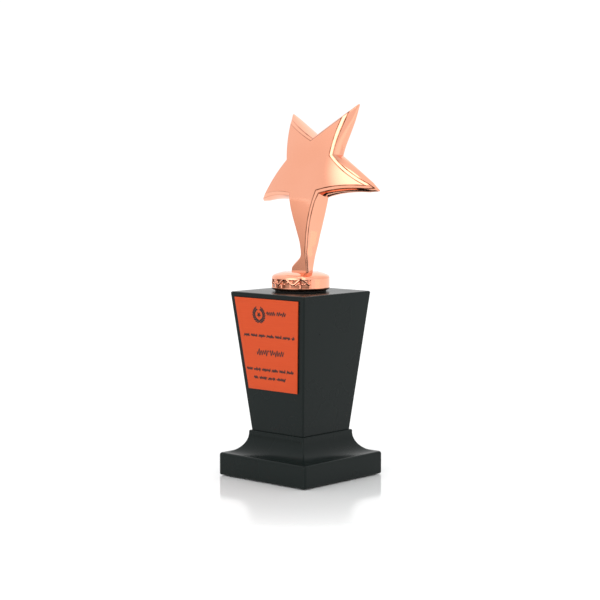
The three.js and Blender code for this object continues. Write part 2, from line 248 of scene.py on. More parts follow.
def makeBeech():
    # Turned beech: pale brown with short darker flecks along the grain
    material, tree = newMaterial("beech")
    place = addNode(tree, "ShaderNodeTexCoord").outputs["Object"]
    along = addNode(tree, "ShaderNodeMapping", {"Vector": place, "Scale": beechFinish["fleck"]})
    fleck = addNode(tree, "ShaderNodeTexNoise", {"Vector": along, "Scale": 1.0, "Detail": 3.0})
    colour = addNode(tree, "ShaderNodeMix", {
        0: fleck, 6: linear(beechFinish["dark"]), 7: linear(beechFinish["light"])}, data_type="RGBA")
    bump = addNode(tree, "ShaderNodeBump", {"Height": fleck, "Strength": 1.0,
        "Distance": beechFinish["depth"] * mm})
    shader = addNode(tree, "ShaderNodeBsdfPrincipled", {
        "Base Color": colour.outputs[2], "Roughness": beechFinish["roughness"], "Normal": bump})
    addNode(tree, "ShaderNodeOutputMaterial", {"Surface": shader})
    return material


copperPlating = makeCopperPlating()
blackLacquer = makeLacquer()
orangeAnodised = makeAnodised()
beech = makeBeech()
plainMaterials = {name: makePlainFinish(name, finish) for name, finish in plainFinishes.items()}
print("finishes made")


# Helpers that make and keep meshes


def meshFromRings(name, rings, loop=False):
    # Joins rings of equally many points. Rings that shrink to a point or a line close the shape.
    rings = np.asarray(rings, float)
    ringCount, count = rings.shape[:2]
    faces = []
    for i in range(ringCount if loop else ringCount - 1):
        low, high = i * count, (i + 1) % ringCount * count
        for j in range(count):
            k = (j + 1) % count
            faces.append((low + j, low + k, high + k, high + j))
    mesh = bpy.data.meshes.new(name)
    mesh.from_pydata((rings.reshape(-1, 3) * mm).tolist(), [], faces)
    return newObject(name, mesh)


def addValues(piece, label, values):
    # One number for each point of the mesh, which nodes read by its label
    layer = piece.data.attributes.new(label, "FLOAT", "POINT")
    layer.data.foreach_set("value", np.ravel(values).astype(np.float32))


def newObject(name, mesh):
    piece = bpy.data.objects.new(name, mesh)
    scene.collection.objects.link(piece)
    return piece


def cleanMesh(piece, gap=0.002):
    bm = bmesh.new()
    bm.from_mesh(piece.data)
    bmesh.ops.remove_doubles(bm, verts=bm.verts, dist=gap * mm)
    bmesh.ops.recalc_face_normals(bm, faces=bm.faces)
    bm.to_mesh(piece.data)
    bm.free()


def growMesh(piece, tree, values):
    # Runs a Geometry Nodes tree on a piece and keeps the result as its plain mesh
    modifier = piece.modifiers.new("grow", "NODES")
    modifier.node_group = tree
    for item in tree.interface.items_tree:
        if item.item_type == "SOCKET" and item.in_out == "INPUT" and item.name in values:
            modifier[item.identifier] = values[item.name]
    evaluated = piece.evaluated_get(bpy.context.evaluated_depsgraph_get())
    mesh = bpy.data.meshes.new_from_object(evaluated)
    piece.modifiers.clear()
    piece.data = mesh
    return piece


def keep(piece, material, nodes=(), crease=38):
    piece.data.materials.clear()
    piece.data.materials.append(material)
    for face in piece.data.polygons:
        face.use_smooth = True
        face.material_index = 0
    piece.data.set_sharp_from_angle(angle=math.radians(crease))
    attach(piece, "root")
    if nodes:
        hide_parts(*nodes)
    return piece


def cut(piece, cutter):
    modifier = piece.modifiers.new("cut", "BOOLEAN")
    modifier.operation = "DIFFERENCE"
    modifier.solver = "EXACT"
    modifier.object = cutter
    mesh = bpy.data.meshes.new_from_object(piece.evaluated_get(bpy.context.evaluated_depsgraph_get()))
    piece.modifiers.clear()
    piece.data = mesh
    bpy.data.objects.remove(cutter)


def supported(profile, gap=0.35):
    # Adds a point just inside both ends of each long step, so that flat faces stay flat beside rounded
    # edges
    points = [np.array(p, float) for p in profile]
    made = [points[0]]
    for a, b in zip(points, points[1:]):
        length = np.linalg.norm((b - a)[[0, -1]])
        if length > 4 * gap:
            made += [a + (b - a) * gap / length, b - (b - a) * gap / length]
        made.append(b)
    return made


def squareRing(half, corner, z, steps=7, gap=0.35):
    ring = []
    for quarter in range(4):
        turn = quarter * math.pi / 2
        c, s = math.cos(turn), math.sin(turn)
        flat = half - corner
        arc = [(flat + corner * math.cos(a), flat + corner * math.sin(a))
               for a in np.linspace(0, math.pi / 2, steps)]
        local = [(half, flat - gap)] + arc + [(flat - gap, half)]
        ring += [(x * c - y * s, x * s + y * c, z) for x, y in local]
    return np.array(ring)


def roundRing(radius, z, like):
    angle = np.arctan2(like[:, 1], like[:, 0])
    return np.stack([radius * np.cos(angle), radius * np.sin(angle), np.full(len(like), z)], 1)


def roundSteps(radius, z, count=96):
    angle = np.linspace(0, 2 * math.pi, count, endpoint=False)
    return np.stack([radius * np.cos(angle), radius * np.sin(angle), np.full(count, z)], 1)


# Plinth and column

wood = {
    "corner": 0.9,  # radius of the plinth's upright corners
    "slabHeight": 15.6,
    "slabEdge": 1.9,
    "slabEdgeShare": 0.75,
    "slabFoot": 1.1,
    "lipHalf": 25.6,
    "lipHeight": 1.6,
    "lipEase": 0.9,
    "columnBottomHalf": 24.1,
    "columnArris": 1.1,
    "topEase": 1.1,
    "topInset": 0.4,  # from the eased edge to the first ring of the flat top
    "rodHole": 3.3,
    "dowelClearance": 0.3,
    "counterbore": (11, 9),  # radius and depth
    "coveSteps": 22,
}
columnSlope = (columnHigh[0] - wood["columnBottomHalf"]) / (columnHigh[2] - columnLow[2])


def makePlinth():
    half, edge, bottom, top = plinthHigh[0], wood["slabEdge"], plinthLow[2], plinthHigh[2]
    slabTop = bottom + wood["slabHeight"]
    coveTop = top - wood["lipHeight"]
    coveStart = half - wood["slabEdgeShare"] * edge
    foot = wood["slabFoot"]
    profile = [(half - foot + foot * math.sin(a), wood["corner"] + foot * math.sin(a),
        bottom + foot * (1 - math.cos(a)))
               for a in np.linspace(0, math.pi / 2, 7)]
    # the eased upper edge of the slab, down to where the cove starts
    for a in np.linspace(0, math.pi / 2, 9):
        drop = edge * (1 - math.sin(a))
        inset = wood["slabEdgeShare"] * edge * (1 - math.cos(a))
        profile.append((half - inset, wood["corner"] + foot - 0.5 * inset, slabTop - drop))
    for a in np.linspace(0, math.pi / 2, wood["coveSteps"])[1:]:
        reach = wood["lipHalf"] + (coveStart - wood["lipHalf"]) * (1 - math.sin(a))
        profile.append((reach, wood["corner"], coveTop - (coveTop - slabTop) * math.cos(a)))
    ease = wood["lipEase"]
    profile += [(wood["lipHalf"] - ease * (1 - math.cos(a)), wood["corner"],
        top - ease + ease * math.sin(a))
                for a in np.linspace(0, math.pi / 2, 7)]
    rings = [squareRing(*step) for step in supported(profile)]
    pattern = rings[0]
    boreRadius, boreDepth = wood["counterbore"]
    for radius, z in [(wood["rodHole"], top), (wood["rodHole"], bottom + boreDepth),
                      (boreRadius, bottom + boreDepth), (boreRadius, bottom)]:
        rings.append(roundRing(radius, z, pattern))
    piece = meshFromRings("plinthBlock", rings, loop=True)
    cleanMesh(piece)
    return piece


def makeColumn():
    bottom, top, half = columnLow[2], columnHigh[2], columnHigh[0]
    ease, arris = wood["topEase"], wood["columnArris"]
    profile = [(wood["columnBottomHalf"], arris, bottom), (half, arris, top - ease)]
    profile += [(half - ease * (1 - math.cos(a)), arris, top - ease + ease * math.sin(a))
                for a in np.linspace(0.25, math.pi / 2, 6)]
    rings = [squareRing(*step) for step in supported(profile)]
    pattern = rings[0]
    rings.append(squareRing(half - ease - wood["topInset"], arris, top))
    for z in (top, bottom):
        rings.append(roundRing(wood["rodHole"], z, pattern))
    piece = meshFromRings("taperedColumn", rings, loop=True)
    cleanMesh(piece)
    return piece


def dowelCutter(side):
    low, high = cadBox("column_dowel_right" if side > 0 else "column_dowel_left")
    middle, clearance = (low + high) / 2, wood["dowelClearance"]
    radius = (high[0] - low[0]) / 2 + clearance
    bottom, top = low[2] - clearance, high[2] + clearance
    rings = [roundSteps(r, z, 24) + [middle[0], middle[1], 0]
             for r, z in [(0, bottom), (radius, bottom), (radius, top), (0, top)]]
    cutter = meshFromRings("dowelCutter", rings)
    cleanMesh(cutter)
    return cutter


for makeWood, node in ((makePlinth, "plinth"), (makeColumn, "column")):
    woodPiece = makeWood()
    for side in (-1, 1):
        cut(woodPiece, dowelCutter(side))
    keep(woodPiece, blackLacquer, (node,))
print("plinth and column made")


# Disc and washer

disc = {
    "steps": 256,
    "panelAngle": 63,
    "panelDepth": 0.75,
    "panelLow": 1.9,
    "panelHigh": 4.3,
    "rodDepth": 6.4,
    "lowerEdge": 1.5,
    # height of the shade painted on the disc's rounded lower edge
    "paintedShadeTop": 1.9,
    # in from the rim and down from the top: round at first, then a long shallow rise to the flat seat
    "shoulder": [(0.03, 4.0), (0.2, 3.4), (0.6, 2.75), (1.2, 2.2), (2.1, 1.72), (3.2, 1.28), (4.6, 0.86),
                 (6.1, 0.42), (7.4, 0.1), (8.2, 0), (12, 0)],
}
washer = {"ease": 0.25, "easeCut": 0.07}


def makeDisc():
    bottom, top, rim = discLow[2], discHigh[2], discHigh[0]
    hole = wood["rodHole"]
    lower = disc["lowerEdge"]
    profile = [(0, bottom + disc["rodDepth"]), (hole, bottom + disc["rodDepth"]), (hole, bottom)]
    profile += [(rim - lower + lower * math.sin(a), bottom + lower * (1 - math.cos(a)))
                for a in np.linspace(0, math.pi / 2, 9)]
    panelBottom, panelTop = bottom + disc["panelLow"], top - disc["panelHigh"]
    for z in (panelBottom, panelBottom + 0.12, panelBottom + 0.3,
        *np.linspace(panelBottom + 0.8, panelTop - 0.8, 5),
              panelTop - 0.3, panelTop - 0.12, panelTop):
        profile.append((rim, z))
    profile += [(rim - inset, top - drop) for inset, drop in disc["shoulder"]] + [(0, top)]
    count = disc["steps"]
    rings, patinaAndShadeMask = [], []
    limit = math.radians(disc["panelAngle"])
    for radius, z in profile:
        ring = roundSteps(radius, z, count)
        sunk = np.zeros(count, bool)
        if panelBottom + 0.2 < z < panelTop - 0.2 and radius == rim:
            sunk = np.abs(np.arctan2(ring[:, 0], -ring[:, 1])) < limit
            ring[sunk, :2] *= (rim - disc["panelDepth"]) / rim
        rings.append(ring)
        # painted shade on the rounded lower edge, and patina in the sunk panel
        shadedUnderEdge = radius > rim - lower and z < bottom + disc["paintedShadeTop"]
        patinaAndShadeMask.append(np.maximum(sunk, shadedUnderEdge))
    piece = meshFromRings("figureDisc", rings)
    addValues(piece, "patinaAndShade", patinaAndShadeMask)
    cleanMesh(piece)
    return piece


def makeWasher():
    inner, outer, bottom, top = wood["rodHole"], washerHigh[0], washerLow[2], washerHigh[2]
    ease, nick = washer["ease"], washer["easeCut"]
    profile = [(inner, bottom), (outer - ease, bottom), (outer - nick, bottom + nick),
        (outer, bottom + ease),
               (outer, top - ease), (outer - nick, top - nick), (outer - ease, top), (inner, top)]
    piece = meshFromRings("discWasher", [roundSteps(r, z) for r, z in profile], loop=True)
    cleanMesh(piece)
    return piece


keep(makeDisc(), copperPlating, ("figure_disc",))
keep(makeWasher(), plainMaterials["blackFibre"], ("disc_washer",))
print("disc made")


# Scroll band on the disc

band = {
    "Radius": float(discHigh[0]) - disc["panelDepth"],
    "Half Angle": math.radians(61.5),
    "Middle": float((discLow[2] + discHigh[2]) / 2 - 0.8),
    "Waves": 3.5,
    "Wave Height": 1.9,
    "Vine Thickness": 0.75,
    "Posts": 7,
    "Berries": 17,
}
bandParts = {
    "vinePoints": 220,
    "vineLift": 0.9,
    "curlTurns": 1.3,
    "curlRadii": (0.3, 1.9),
    "curlThickness": 0.72,  # as a share of the vine's
    "curlPlaces": (-1.5, 1.6),  # step from one to the next and height of the first, as for the leaves
    "berryRadius": 0.8,
    "berrySwing": -1.9,
    "berryLift": 1.0,
    "leafSize": (1.5, 0.45, 0.62),
    "leafPlaces": (2.6, -0.6),
    "leafLeans": (1.5, -0.75),
    "leavesPerWave": 4.0,
    "postRadius": 0.72,
    "postHeight": 3.0,
    "postMiddle": -2.3,
}


def newTree(name, sockets):
    tree = bpy.data.node_groups.new(name, "GeometryNodeTree")
    tree.interface.new_socket("Geometry", in_out="INPUT", socket_type="NodeSocketGeometry")
    for label, kind in sockets.items():
        tree.interface.new_socket(label, in_out="INPUT", socket_type="NodeSocket" + kind)
    tree.interface.new_socket("Geometry", in_out="OUTPUT", socket_type="NodeSocketGeometry")
    return tree, addNode(tree, "NodeGroupInput").outputs


def endTree(tree, geometry, material):
    real = addNode(tree, "GeometryNodeRealizeInstances", {"Geometry": geometry})
    painted = addNode(tree, "GeometryNodeSetMaterial", {"Geometry": real})
    painted.inputs["Material"].default_value = material
    addNode(tree, "NodeGroupOutput", {0: painted})


def scrollBandTree():
    tree, given = newTree("scrollBand", {
        "Radius": "Float", "Half Angle": "Float", "Middle": "Float", "Waves": "Float",
        "Wave Height": "Float",
        "Vine Thickness": "Float", "Posts": "Int", "Berries": "Int"})
    reach = addNode(tree, "ShaderNodeMath", {0: given["Radius"], 1: given["Half Angle"]},
        operation="MULTIPLY")
    back = addNode(tree, "ShaderNodeMath", {0: reach, 1: -1.0}, operation="MULTIPLY")
    start = addNode(tree, "ShaderNodeCombineXYZ", {"X": back})
    end = addNode(tree, "ShaderNodeCombineXYZ", {"X": reach})

    # wave number along the flat strip: x times this is the phase
    turns = addNode(tree, "ShaderNodeMath", {0: given["Waves"], 1: math.pi}, operation="MULTIPLY")
    number = addNode(tree, "ShaderNodeMath", {0: turns, 1: reach}, operation="DIVIDE")
    place = addNode(tree, "ShaderNodeSeparateXYZ", {0: addNode(tree, "GeometryNodeInputPosition")})
    phase = addNode(tree, "ShaderNodeMath", {0: place.outputs["X"], 1: number}, operation="MULTIPLY")
    sine = addNode(tree, "ShaderNodeMath", {0: phase}, operation="SINE")
    swing = addNode(tree, "ShaderNodeMath", {0: sine, 1: given["Wave Height"]}, operation="MULTIPLY")
    raised = addNode(tree, "ShaderNodeMath", {0: swing, 1: bandParts["vineLift"]}, operation="ADD")
    lift = addNode(tree, "ShaderNodeCombineXYZ", {"Z": raised})

    # the vine itself
    line = addNode(tree, "GeometryNodeCurvePrimitiveLine", {"Start": start, "End": end})
    fine = addNode(tree, "GeometryNodeResampleCurve", {"Curve": line, "Count": bandParts["vinePoints"]})
    wavy = addNode(tree, "GeometryNodeSetPosition", {"Geometry": fine, "Offset": lift})
    vineSection = addNode(tree, "GeometryNodeCurvePrimitiveCircle", {
        "Resolution": 8, "Radius": given["Vine Thickness"]})
    vine = addNode(tree, "GeometryNodeCurveToMesh",
        {"Curve": wavy, "Profile Curve": vineSection, "Fill Caps": True})

    # a curl in each bend of the vine, turned over in every second one
    firstRadius, lastRadius = bandParts["curlRadii"]
    spiral = addNode(tree, "GeometryNodeCurveSpiral", {
        "Resolution": 24, "Rotations": bandParts["curlTurns"], "Start Radius": firstRadius,
        "End Radius": lastRadius, "Height": 0.0})
    thin = addNode(tree, "ShaderNodeMath", {
        0: given["Vine Thickness"], 1: bandParts["curlThickness"]}, operation="MULTIPLY")
    curlSection = addNode(tree, "GeometryNodeCurvePrimitiveCircle", {"Resolution": 6, "Radius": thin})
    curl = addNode(tree, "GeometryNodeCurveToMesh", {
        "Curve": spiral, "Profile Curve": curlSection, "Fill Caps": True})
    upright = addNode(tree, "GeometryNodeTransform", {"Geometry": curl, "Rotation": (math.pi / 2, 0, 0)})
    bends = addNode(tree, "ShaderNodeMath", {0: given["Waves"], 1: 2.0}, operation="MULTIPLY")
    spots = addNode(tree, "GeometryNodeMeshLine", {
        "Count": bends, "Start Location": start, "Offset": end}, mode="END_POINTS")
    index = addNode(tree, "GeometryNodeInputIndex")
    parity = addNode(tree, "ShaderNodeMath", {0: index, 1: 2.0}, operation="MODULO")
    half = addNode(tree, "ShaderNodeMath", {0: parity, 1: math.pi}, operation="MULTIPLY")
    flip = addNode(tree, "ShaderNodeCombineXYZ", {"Y": half})
    step, first = bandParts["curlPlaces"]
    shift = addNode(tree, "ShaderNodeMath", {0: parity, 1: step, 2: first}, operation="MULTIPLY_ADD")
    up = addNode(tree, "ShaderNodeCombineXYZ", {"Z": shift})
    curlSpots = addNode(tree, "GeometryNodeSetPosition", {"Geometry": spots, "Offset": up})
    curls = addNode(tree, "GeometryNodeInstanceOnPoints", {
        "Points": curlSpots, "Instance": upright, "Rotation": flip})

    # berries between the bends
    berry = addNode(tree, "GeometryNodeMeshIcoSphere",
        {"Radius": bandParts["berryRadius"], "Subdivisions": 2})
    berryLine = addNode(tree, "GeometryNodeMeshLine", {
        "Count": given["Berries"], "Start Location": start, "Offset": end}, mode="END_POINTS")
    over = addNode(tree, "ShaderNodeMath", {
        0: sine, 1: bandParts["berrySwing"], 2: bandParts["berryLift"]}, operation="MULTIPLY_ADD")
    berryLift = addNode(tree, "ShaderNodeCombineXYZ", {"Z": over})
    berrySpots = addNode(tree, "GeometryNodeSetPosition", {"Geometry": berryLine, "Offset": berryLift})
    berries = addNode(tree, "GeometryNodeInstanceOnPoints", {"Points": berrySpots, "Instance": berry})

    # leaves that lean with the vine
    ball = addNode(tree, "GeometryNodeMeshUVSphere", {"Segments": 10, "Rings": 6, "Radius": 1.0})
    leaf = addNode(tree, "GeometryNodeTransform", {"Geometry": ball, "Scale": bandParts["leafSize"]})
    leafCount = addNode(tree, "ShaderNodeMath", {
        0: given["Waves"], 1: bandParts["leavesPerWave"]}, operation="MULTIPLY")
    leafLine = addNode(tree, "GeometryNodeMeshLine", {
        "Count": leafCount, "Start Location": start, "Offset": end}, mode="END_POINTS")
    step, first = bandParts["leafPlaces"]
    leafUp = addNode(tree, "ShaderNodeMath", {0: parity, 1: step, 2: first}, operation="MULTIPLY_ADD")
    leafHeight = addNode(tree, "ShaderNodeMath", {0: leafUp, 1: swing}, operation="ADD")
    leafLift = addNode(tree, "ShaderNodeCombineXYZ", {"Z": leafHeight})
    leafSpots = addNode(tree, "GeometryNodeSetPosition", {"Geometry": leafLine, "Offset": leafLift})
    step, first = bandParts["leafLeans"]
    lean = addNode(tree, "ShaderNodeMath", {0: parity, 1: step, 2: first}, operation="MULTIPLY_ADD")
    leafTurn = addNode(tree, "ShaderNodeCombineXYZ", {"Y": lean})
    leaves = addNode(tree, "GeometryNodeInstanceOnPoints", {
        "Points": leafSpots, "Instance": leaf, "Rotation": leafTurn})

    # short posts under the vine
    post = addNode(tree, "GeometryNodeMeshCylinder", {
        "Vertices": 10, "Radius": bandParts["postRadius"], "Depth": bandParts["postHeight"]})
    postLine = addNode(tree, "GeometryNodeMeshLine", {
        "Count": given["Posts"], "Start Location": start, "Offset": end}, mode="END_POINTS")
    posts = addNode(tree, "GeometryNodeInstanceOnPoints", {"Points": postLine, "Instance": post})
    lowPosts = addNode(tree, "GeometryNodeTransform",
        {"Geometry": posts, "Translation": (0, 0, bandParts["postMiddle"])})

    flat = addNode(tree, "GeometryNodeJoinGeometry")
    for part in (vine, curls, berries, leaves, lowPosts):
        tree.links.new(part.outputs[0], flat.inputs[0])
    solid = addNode(tree, "GeometryNodeRealizeInstances", {"Geometry": flat})

    # bend the flat strip round the disc: x runs round it, -y stands out from it
    angle = addNode(tree, "ShaderNodeMath", {0: place.outputs["X"], 1: given["Radius"]},
        operation="DIVIDE")
    out = addNode(tree, "ShaderNodeMath", {0: given["Radius"], 1: place.outputs["Y"]},
        operation="SUBTRACT")
    sinAngle = addNode(tree, "ShaderNodeMath", {0: angle}, operation="SINE")
    cosAngle = addNode(tree, "ShaderNodeMath", {0: angle}, operation="COSINE")
    x = addNode(tree, "ShaderNodeMath", {0: out, 1: sinAngle}, operation="MULTIPLY")
    y = addNode(tree, "ShaderNodeMath", {0: out, 1: cosAngle}, operation="MULTIPLY")
    yFront = addNode(tree, "ShaderNodeMath", {0: y, 1: -1.0}, operation="MULTIPLY")
    z = addNode(tree, "ShaderNodeMath", {0: place.outputs["Z"], 1: given["Middle"]}, operation="ADD")
    bent = addNode(tree, "ShaderNodeCombineXYZ", {"X": x, "Y": yFront, "Z": z})
    wrapped = addNode(tree, "GeometryNodeSetPosition", {"Geometry": solid, "Position": bent})
    metres = addNode(tree, "GeometryNodeTransform", {"Geometry": wrapped, "Scale": (mm, mm, mm)})
    endTree(tree, metres, copperPlating)
    return tree


scrollBand = newObject("discScrollBand", bpy.data.meshes.new("discScrollBand"))
growMesh(scrollBand, scrollBandTree(), band)
keep(scrollBand, copperPlating)
print("scroll band made")


# Name plate and its print

plate = {"bottomHalf": 22.5, "topHalf": 29.5, "edge": 0.12, "inner": 0.4}


def onFront(x, z, out):
    # A point on the leaning front of the column, that far out from the wood
    return (x, -(wood["columnBottomHalf"] + columnSlope * (z - columnLow[2])) - out, z)


def makePlate():
    bottomZ, topZ = plateLow[2], plateHigh[2]
    outer = -plateLow[1] - (wood["columnBottomHalf"] + columnSlope * (topZ - columnLow[2]))
    corners = [(-plate["bottomHalf"], bottomZ), (plate["bottomHalf"], bottomZ),
               (plate["topHalf"], topZ), (-plate["topHalf"], topZ)]

    def ring(inset, out):
        points = []
        for i, (x, z) in enumerate(corners):
            nextX, nextZ = corners[(i + 1) % 4]
            for share in np.linspace(0, 1, 9)[:-1]:
                px, pz = x + (nextX - x) * share, z + (nextZ - z) * share
                points.append(onFront(px * (1 - inset / 29),
                    min(max(pz, bottomZ + inset), topZ - inset), out))
        return points

    middle = [onFront(0, (bottomZ + topZ) / 2, plate["inner"])] * 32
    front = [onFront(0, (bottomZ + topZ) / 2, outer)] * 32
    edge = plate["edge"]
    rings = [middle, ring(edge, plate["inner"]), ring(0, plate["inner"] + edge), ring(0, outer - edge),
             ring(edge * 0.3, outer - edge * 0.3), ring(edge, outer), ring(3, outer), front]
    piece = meshFromRings("namePlate", rings)
    cleanMesh(piece)
    return piece, outer


platePiece, plateOut = makePlate()
keep(platePiece, orangeAnodised, ("name_plate",))

# Lines of loose squiggles where wording would go: both ends, height on the plate, size and thickness
# of the stroke, wavelength, shortest and longest word
printLines = [
    {"from": -0.2, "to": 17.6, "z": 115.1, "height": 1.35, "stroke": 0.34, "wave": 1.9,
        "words": (7, 9), "seed": 3},
    {"from": -22.9, "to": 24.1, "z": 99.2, "height": 0.95, "stroke": 0.31, "wave": 1.25,
        "words": (3, 8), "seed": 5},
    {"from": -11.6, "to": 12.9, "z": 87.8, "height": 2.0, "stroke": 0.32, "wave": 2.1,
        "words": (9, 12), "seed": 8},
    {"from": -22.5, "to": 20.9, "z": 75.7, "height": 0.95, "stroke": 0.31, "wave": 1.25,
        "words": (3, 8), "seed": 11},
    {"from": -16.3, "to": 13.0, "z": 70.0, "height": 0.95, "stroke": 0.31, "wave": 1.25,
        "words": (3, 8), "seed": 14},
]


squiggle = {"pointsPerMm": 9.0, "wobble": (1.5, 0.1), "wobbleScale": 0.9, "slant": 0.22,
    "flatness": 0.3, "space": 1.3}


def squiggleTree():
    tree, given = newTree("squiggle", {
        "Start": "Float", "Length": "Float", "Height": "Float", "Wave": "Float", "Stroke": "Float",
        "Seed": "Float"})
    startAt = addNode(tree, "ShaderNodeCombineXYZ", {"X": given["Start"]})
    stop = addNode(tree, "ShaderNodeMath", {0: given["Start"], 1: given["Length"]}, operation="ADD")
    stopAt = addNode(tree, "ShaderNodeCombineXYZ", {"X": stop})
    line = addNode(tree, "GeometryNodeCurvePrimitiveLine", {"Start": startAt, "End": stopAt})
    count = addNode(tree, "ShaderNodeMath", {0: given["Length"], 1: squiggle["pointsPerMm"]},
        operation="MULTIPLY")
    fine = addNode(tree, "GeometryNodeResampleCurve", {"Curve": line, "Count": count})
    place = addNode(tree, "ShaderNodeSeparateXYZ", {0: addNode(tree, "GeometryNodeInputPosition")})
    turns = addNode(tree, "ShaderNodeMath", {0: place.outputs["X"], 1: given["Wave"]},
        operation="DIVIDE")
    phase = addNode(tree, "ShaderNodeMath", {0: turns, 1: 2 * math.pi}, operation="MULTIPLY")
    sine = addNode(tree, "ShaderNodeMath", {0: phase}, operation="SINE")
    seeded = addNode(tree, "ShaderNodeMath", {0: turns, 1: given["Seed"]}, operation="ADD")
    wobble = addNode(tree, "ShaderNodeTexNoise", {
        "W": seeded, "Scale": squiggle["wobbleScale"], "Detail": 0.0}, noise_dimensions="1D")
    most, least = squiggle["wobble"]
    size = addNode(tree, "ShaderNodeMath", {0: wobble, 1: most, 2: least}, operation="MULTIPLY_ADD")
    swing = addNode(tree, "ShaderNodeMath", {0: sine, 1: size}, operation="MULTIPLY")
    tall = addNode(tree, "ShaderNodeMath", {0: swing, 1: given["Height"]}, operation="MULTIPLY")
    slant = addNode(tree, "ShaderNodeMath", {0: tall, 1: squiggle["slant"]}, operation="MULTIPLY")
    offset = addNode(tree, "ShaderNodeCombineXYZ", {"X": slant, "Y": tall})
    wavy = addNode(tree, "GeometryNodeSetPosition", {"Geometry": fine, "Offset": offset})
    section = addNode(tree, "GeometryNodeCurvePrimitiveCircle",
        {"Resolution": 6, "Radius": given["Stroke"]})
    stroke = addNode(tree, "GeometryNodeCurveToMesh", {
        "Curve": wavy, "Profile Curve": section, "Fill Caps": True})
    low = addNode(tree, "GeometryNodeTransform", {"Geometry": stroke, "Scale": (1, 1,
        squiggle["flatness"])})
    endTree(tree, low, plainMaterials["printInk"])
    return tree


emblem = {"Radius": 4.6, "Leaves": 9, "Leaf Length": 1.25, "Star Size": 2.1}
emblemPlace = (-7.4, 113.7)
emblemParts = {
    "arc": (math.radians(-78), math.radians(140)),  # start and sweep
    "leafWidth": 0.42,  # as a share of its length
    "leafHeight": 0.12,
    "rows": ((0.95, 0.72), (2.15, -0.62)),  # lean of the leaves and their shift outwards
    "starInner": 0.9,
    "starHeight": 0.1,
    "starTurn": math.radians(-18),
}


def laurelTree():
    # Two rows of leaves round an open ring, with a small star in the middle
    tree, given = newTree("laurel", {"Radius": "Float", "Leaves": "Int", "Leaf Length": "Float",
        "Star Size": "Float"})
    start, sweep = emblemParts["arc"]
    arc = addNode(tree, "GeometryNodeCurveArc", {
        "Resolution": 48, "Radius": given["Radius"], "Start Angle": start, "Sweep Angle": sweep})
    points = addNode(tree, "GeometryNodeCurveToPoints", {"Curve": arc, "Count": given["Leaves"]})
    ball = addNode(tree, "GeometryNodeMeshUVSphere", {"Segments": 10, "Rings": 6, "Radius": 1.0})
    narrow = addNode(tree, "ShaderNodeMath", {
        0: given["Leaf Length"], 1: emblemParts["leafWidth"]}, operation="MULTIPLY")
    leafSize = addNode(tree, "ShaderNodeCombineXYZ", {
        "X": given["Leaf Length"], "Y": narrow, "Z": emblemParts["leafHeight"]})
    leaf = addNode(tree, "GeometryNodeTransform", {"Geometry": ball, "Scale": leafSize})
    place = addNode(tree, "ShaderNodeSeparateXYZ", {0: addNode(tree, "GeometryNodeInputPosition")})
    heading = addNode(tree, "ShaderNodeMath", {
        0: place.outputs["Y"], 1: place.outputs["X"]}, operation="ARCTAN2")
    rows = addNode(tree, "GeometryNodeJoinGeometry")
    for lean, push in emblemParts["rows"]:
        turned = addNode(tree, "ShaderNodeMath", {0: heading, 1: lean}, operation="ADD")
        turn = addNode(tree, "ShaderNodeCombineXYZ", {"Z": turned})
        share = addNode(tree, "ShaderNodeVectorMath", {0: addNode(tree, "GeometryNodeInputPosition")},
                        operation="NORMALIZE")
        away = addNode(tree, "ShaderNodeVectorMath", {0: share, "Scale": push}, operation="SCALE")
        moved = addNode(tree, "GeometryNodeSetPosition", {"Geometry": points, "Offset": away})
        leaves = addNode(tree, "GeometryNodeInstanceOnPoints",
            {"Points": moved, "Instance": leaf, "Rotation": turn})
        tree.links.new(leaves.outputs[0], rows.inputs[0])
    other = addNode(tree, "GeometryNodeTransform", {"Geometry": rows, "Rotation": (0, math.pi, 0)})
    smallStar = addNode(tree, "GeometryNodeCurveStar", {
        "Points": 5, "Inner Radius": emblemParts["starInner"], "Outer Radius": given["Star Size"]})
    filled = addNode(tree, "GeometryNodeFillCurve", {"Curve": smallStar})
    thick = addNode(tree, "GeometryNodeExtrudeMesh", {
        "Mesh": filled, "Offset Scale": emblemParts["starHeight"]})
    upright = addNode(tree, "GeometryNodeTransform", {
        "Geometry": thick, "Rotation": (0, 0, emblemParts["starTurn"])})
    whole = addNode(tree, "GeometryNodeJoinGeometry")
    for part in (rows, other, upright):
        tree.links.new(part.outputs[0], whole.inputs[0])
    endTree(tree, whole, plainMaterials["printInk"])
    return tree


def layOnPlate(piece, x, z):
    # From a flat drawing, with its own z standing out, to its place on the leaning plate
    lean = math.hypot(1, columnSlope)
    origin = Vector(onFront(x, z, plateOut + 0.01))
    upward = Vector((0, -columnSlope, 1)) / lean
    out = Vector((0, -1, -columnSlope)) / lean
    for vertex in piece.data.vertices:
        flat = vertex.co.copy()
        vertex.co = (origin + Vector((flat.x, 0, 0)) + upward * flat.y + out * flat.z) * mm


def joinPieces(name, parts):
    bm = bmesh.new()
    for part in parts:
        bm.from_mesh(part.data)
        bpy.data.objects.remove(part)
    mesh = bpy.data.meshes.new(name)
    bm.to_mesh(mesh)
    bm.free()
    return newObject(name, mesh)


def makePrint():
    tree = squiggleTree()
    marks = []
    for line in printLines:
        pick = random.Random(line["seed"])
        space, room = squiggle["space"], line["to"] - line["from"]
        count = round(room / (sum(line["words"]) / 2 + space))
        lengths = [pick.uniform(*line["words"]) for _ in range(count)]
        fit = (room - space * (count - 1)) / sum(lengths)
        x = line["from"]
        for length in lengths:
            length *= fit
            word = newObject("word", bpy.data.meshes.new("word"))
            growMesh(word, tree, {
                "Start": x, "Length": length, "Height": line["height"], "Wave": line["wave"],
                "Stroke": line["stroke"], "Seed": pick.uniform(0, 50)})
            layOnPlate(word, 0, line["z"])
            marks.append(word)
            x += length + space
    return joinPieces("platePrint", marks)


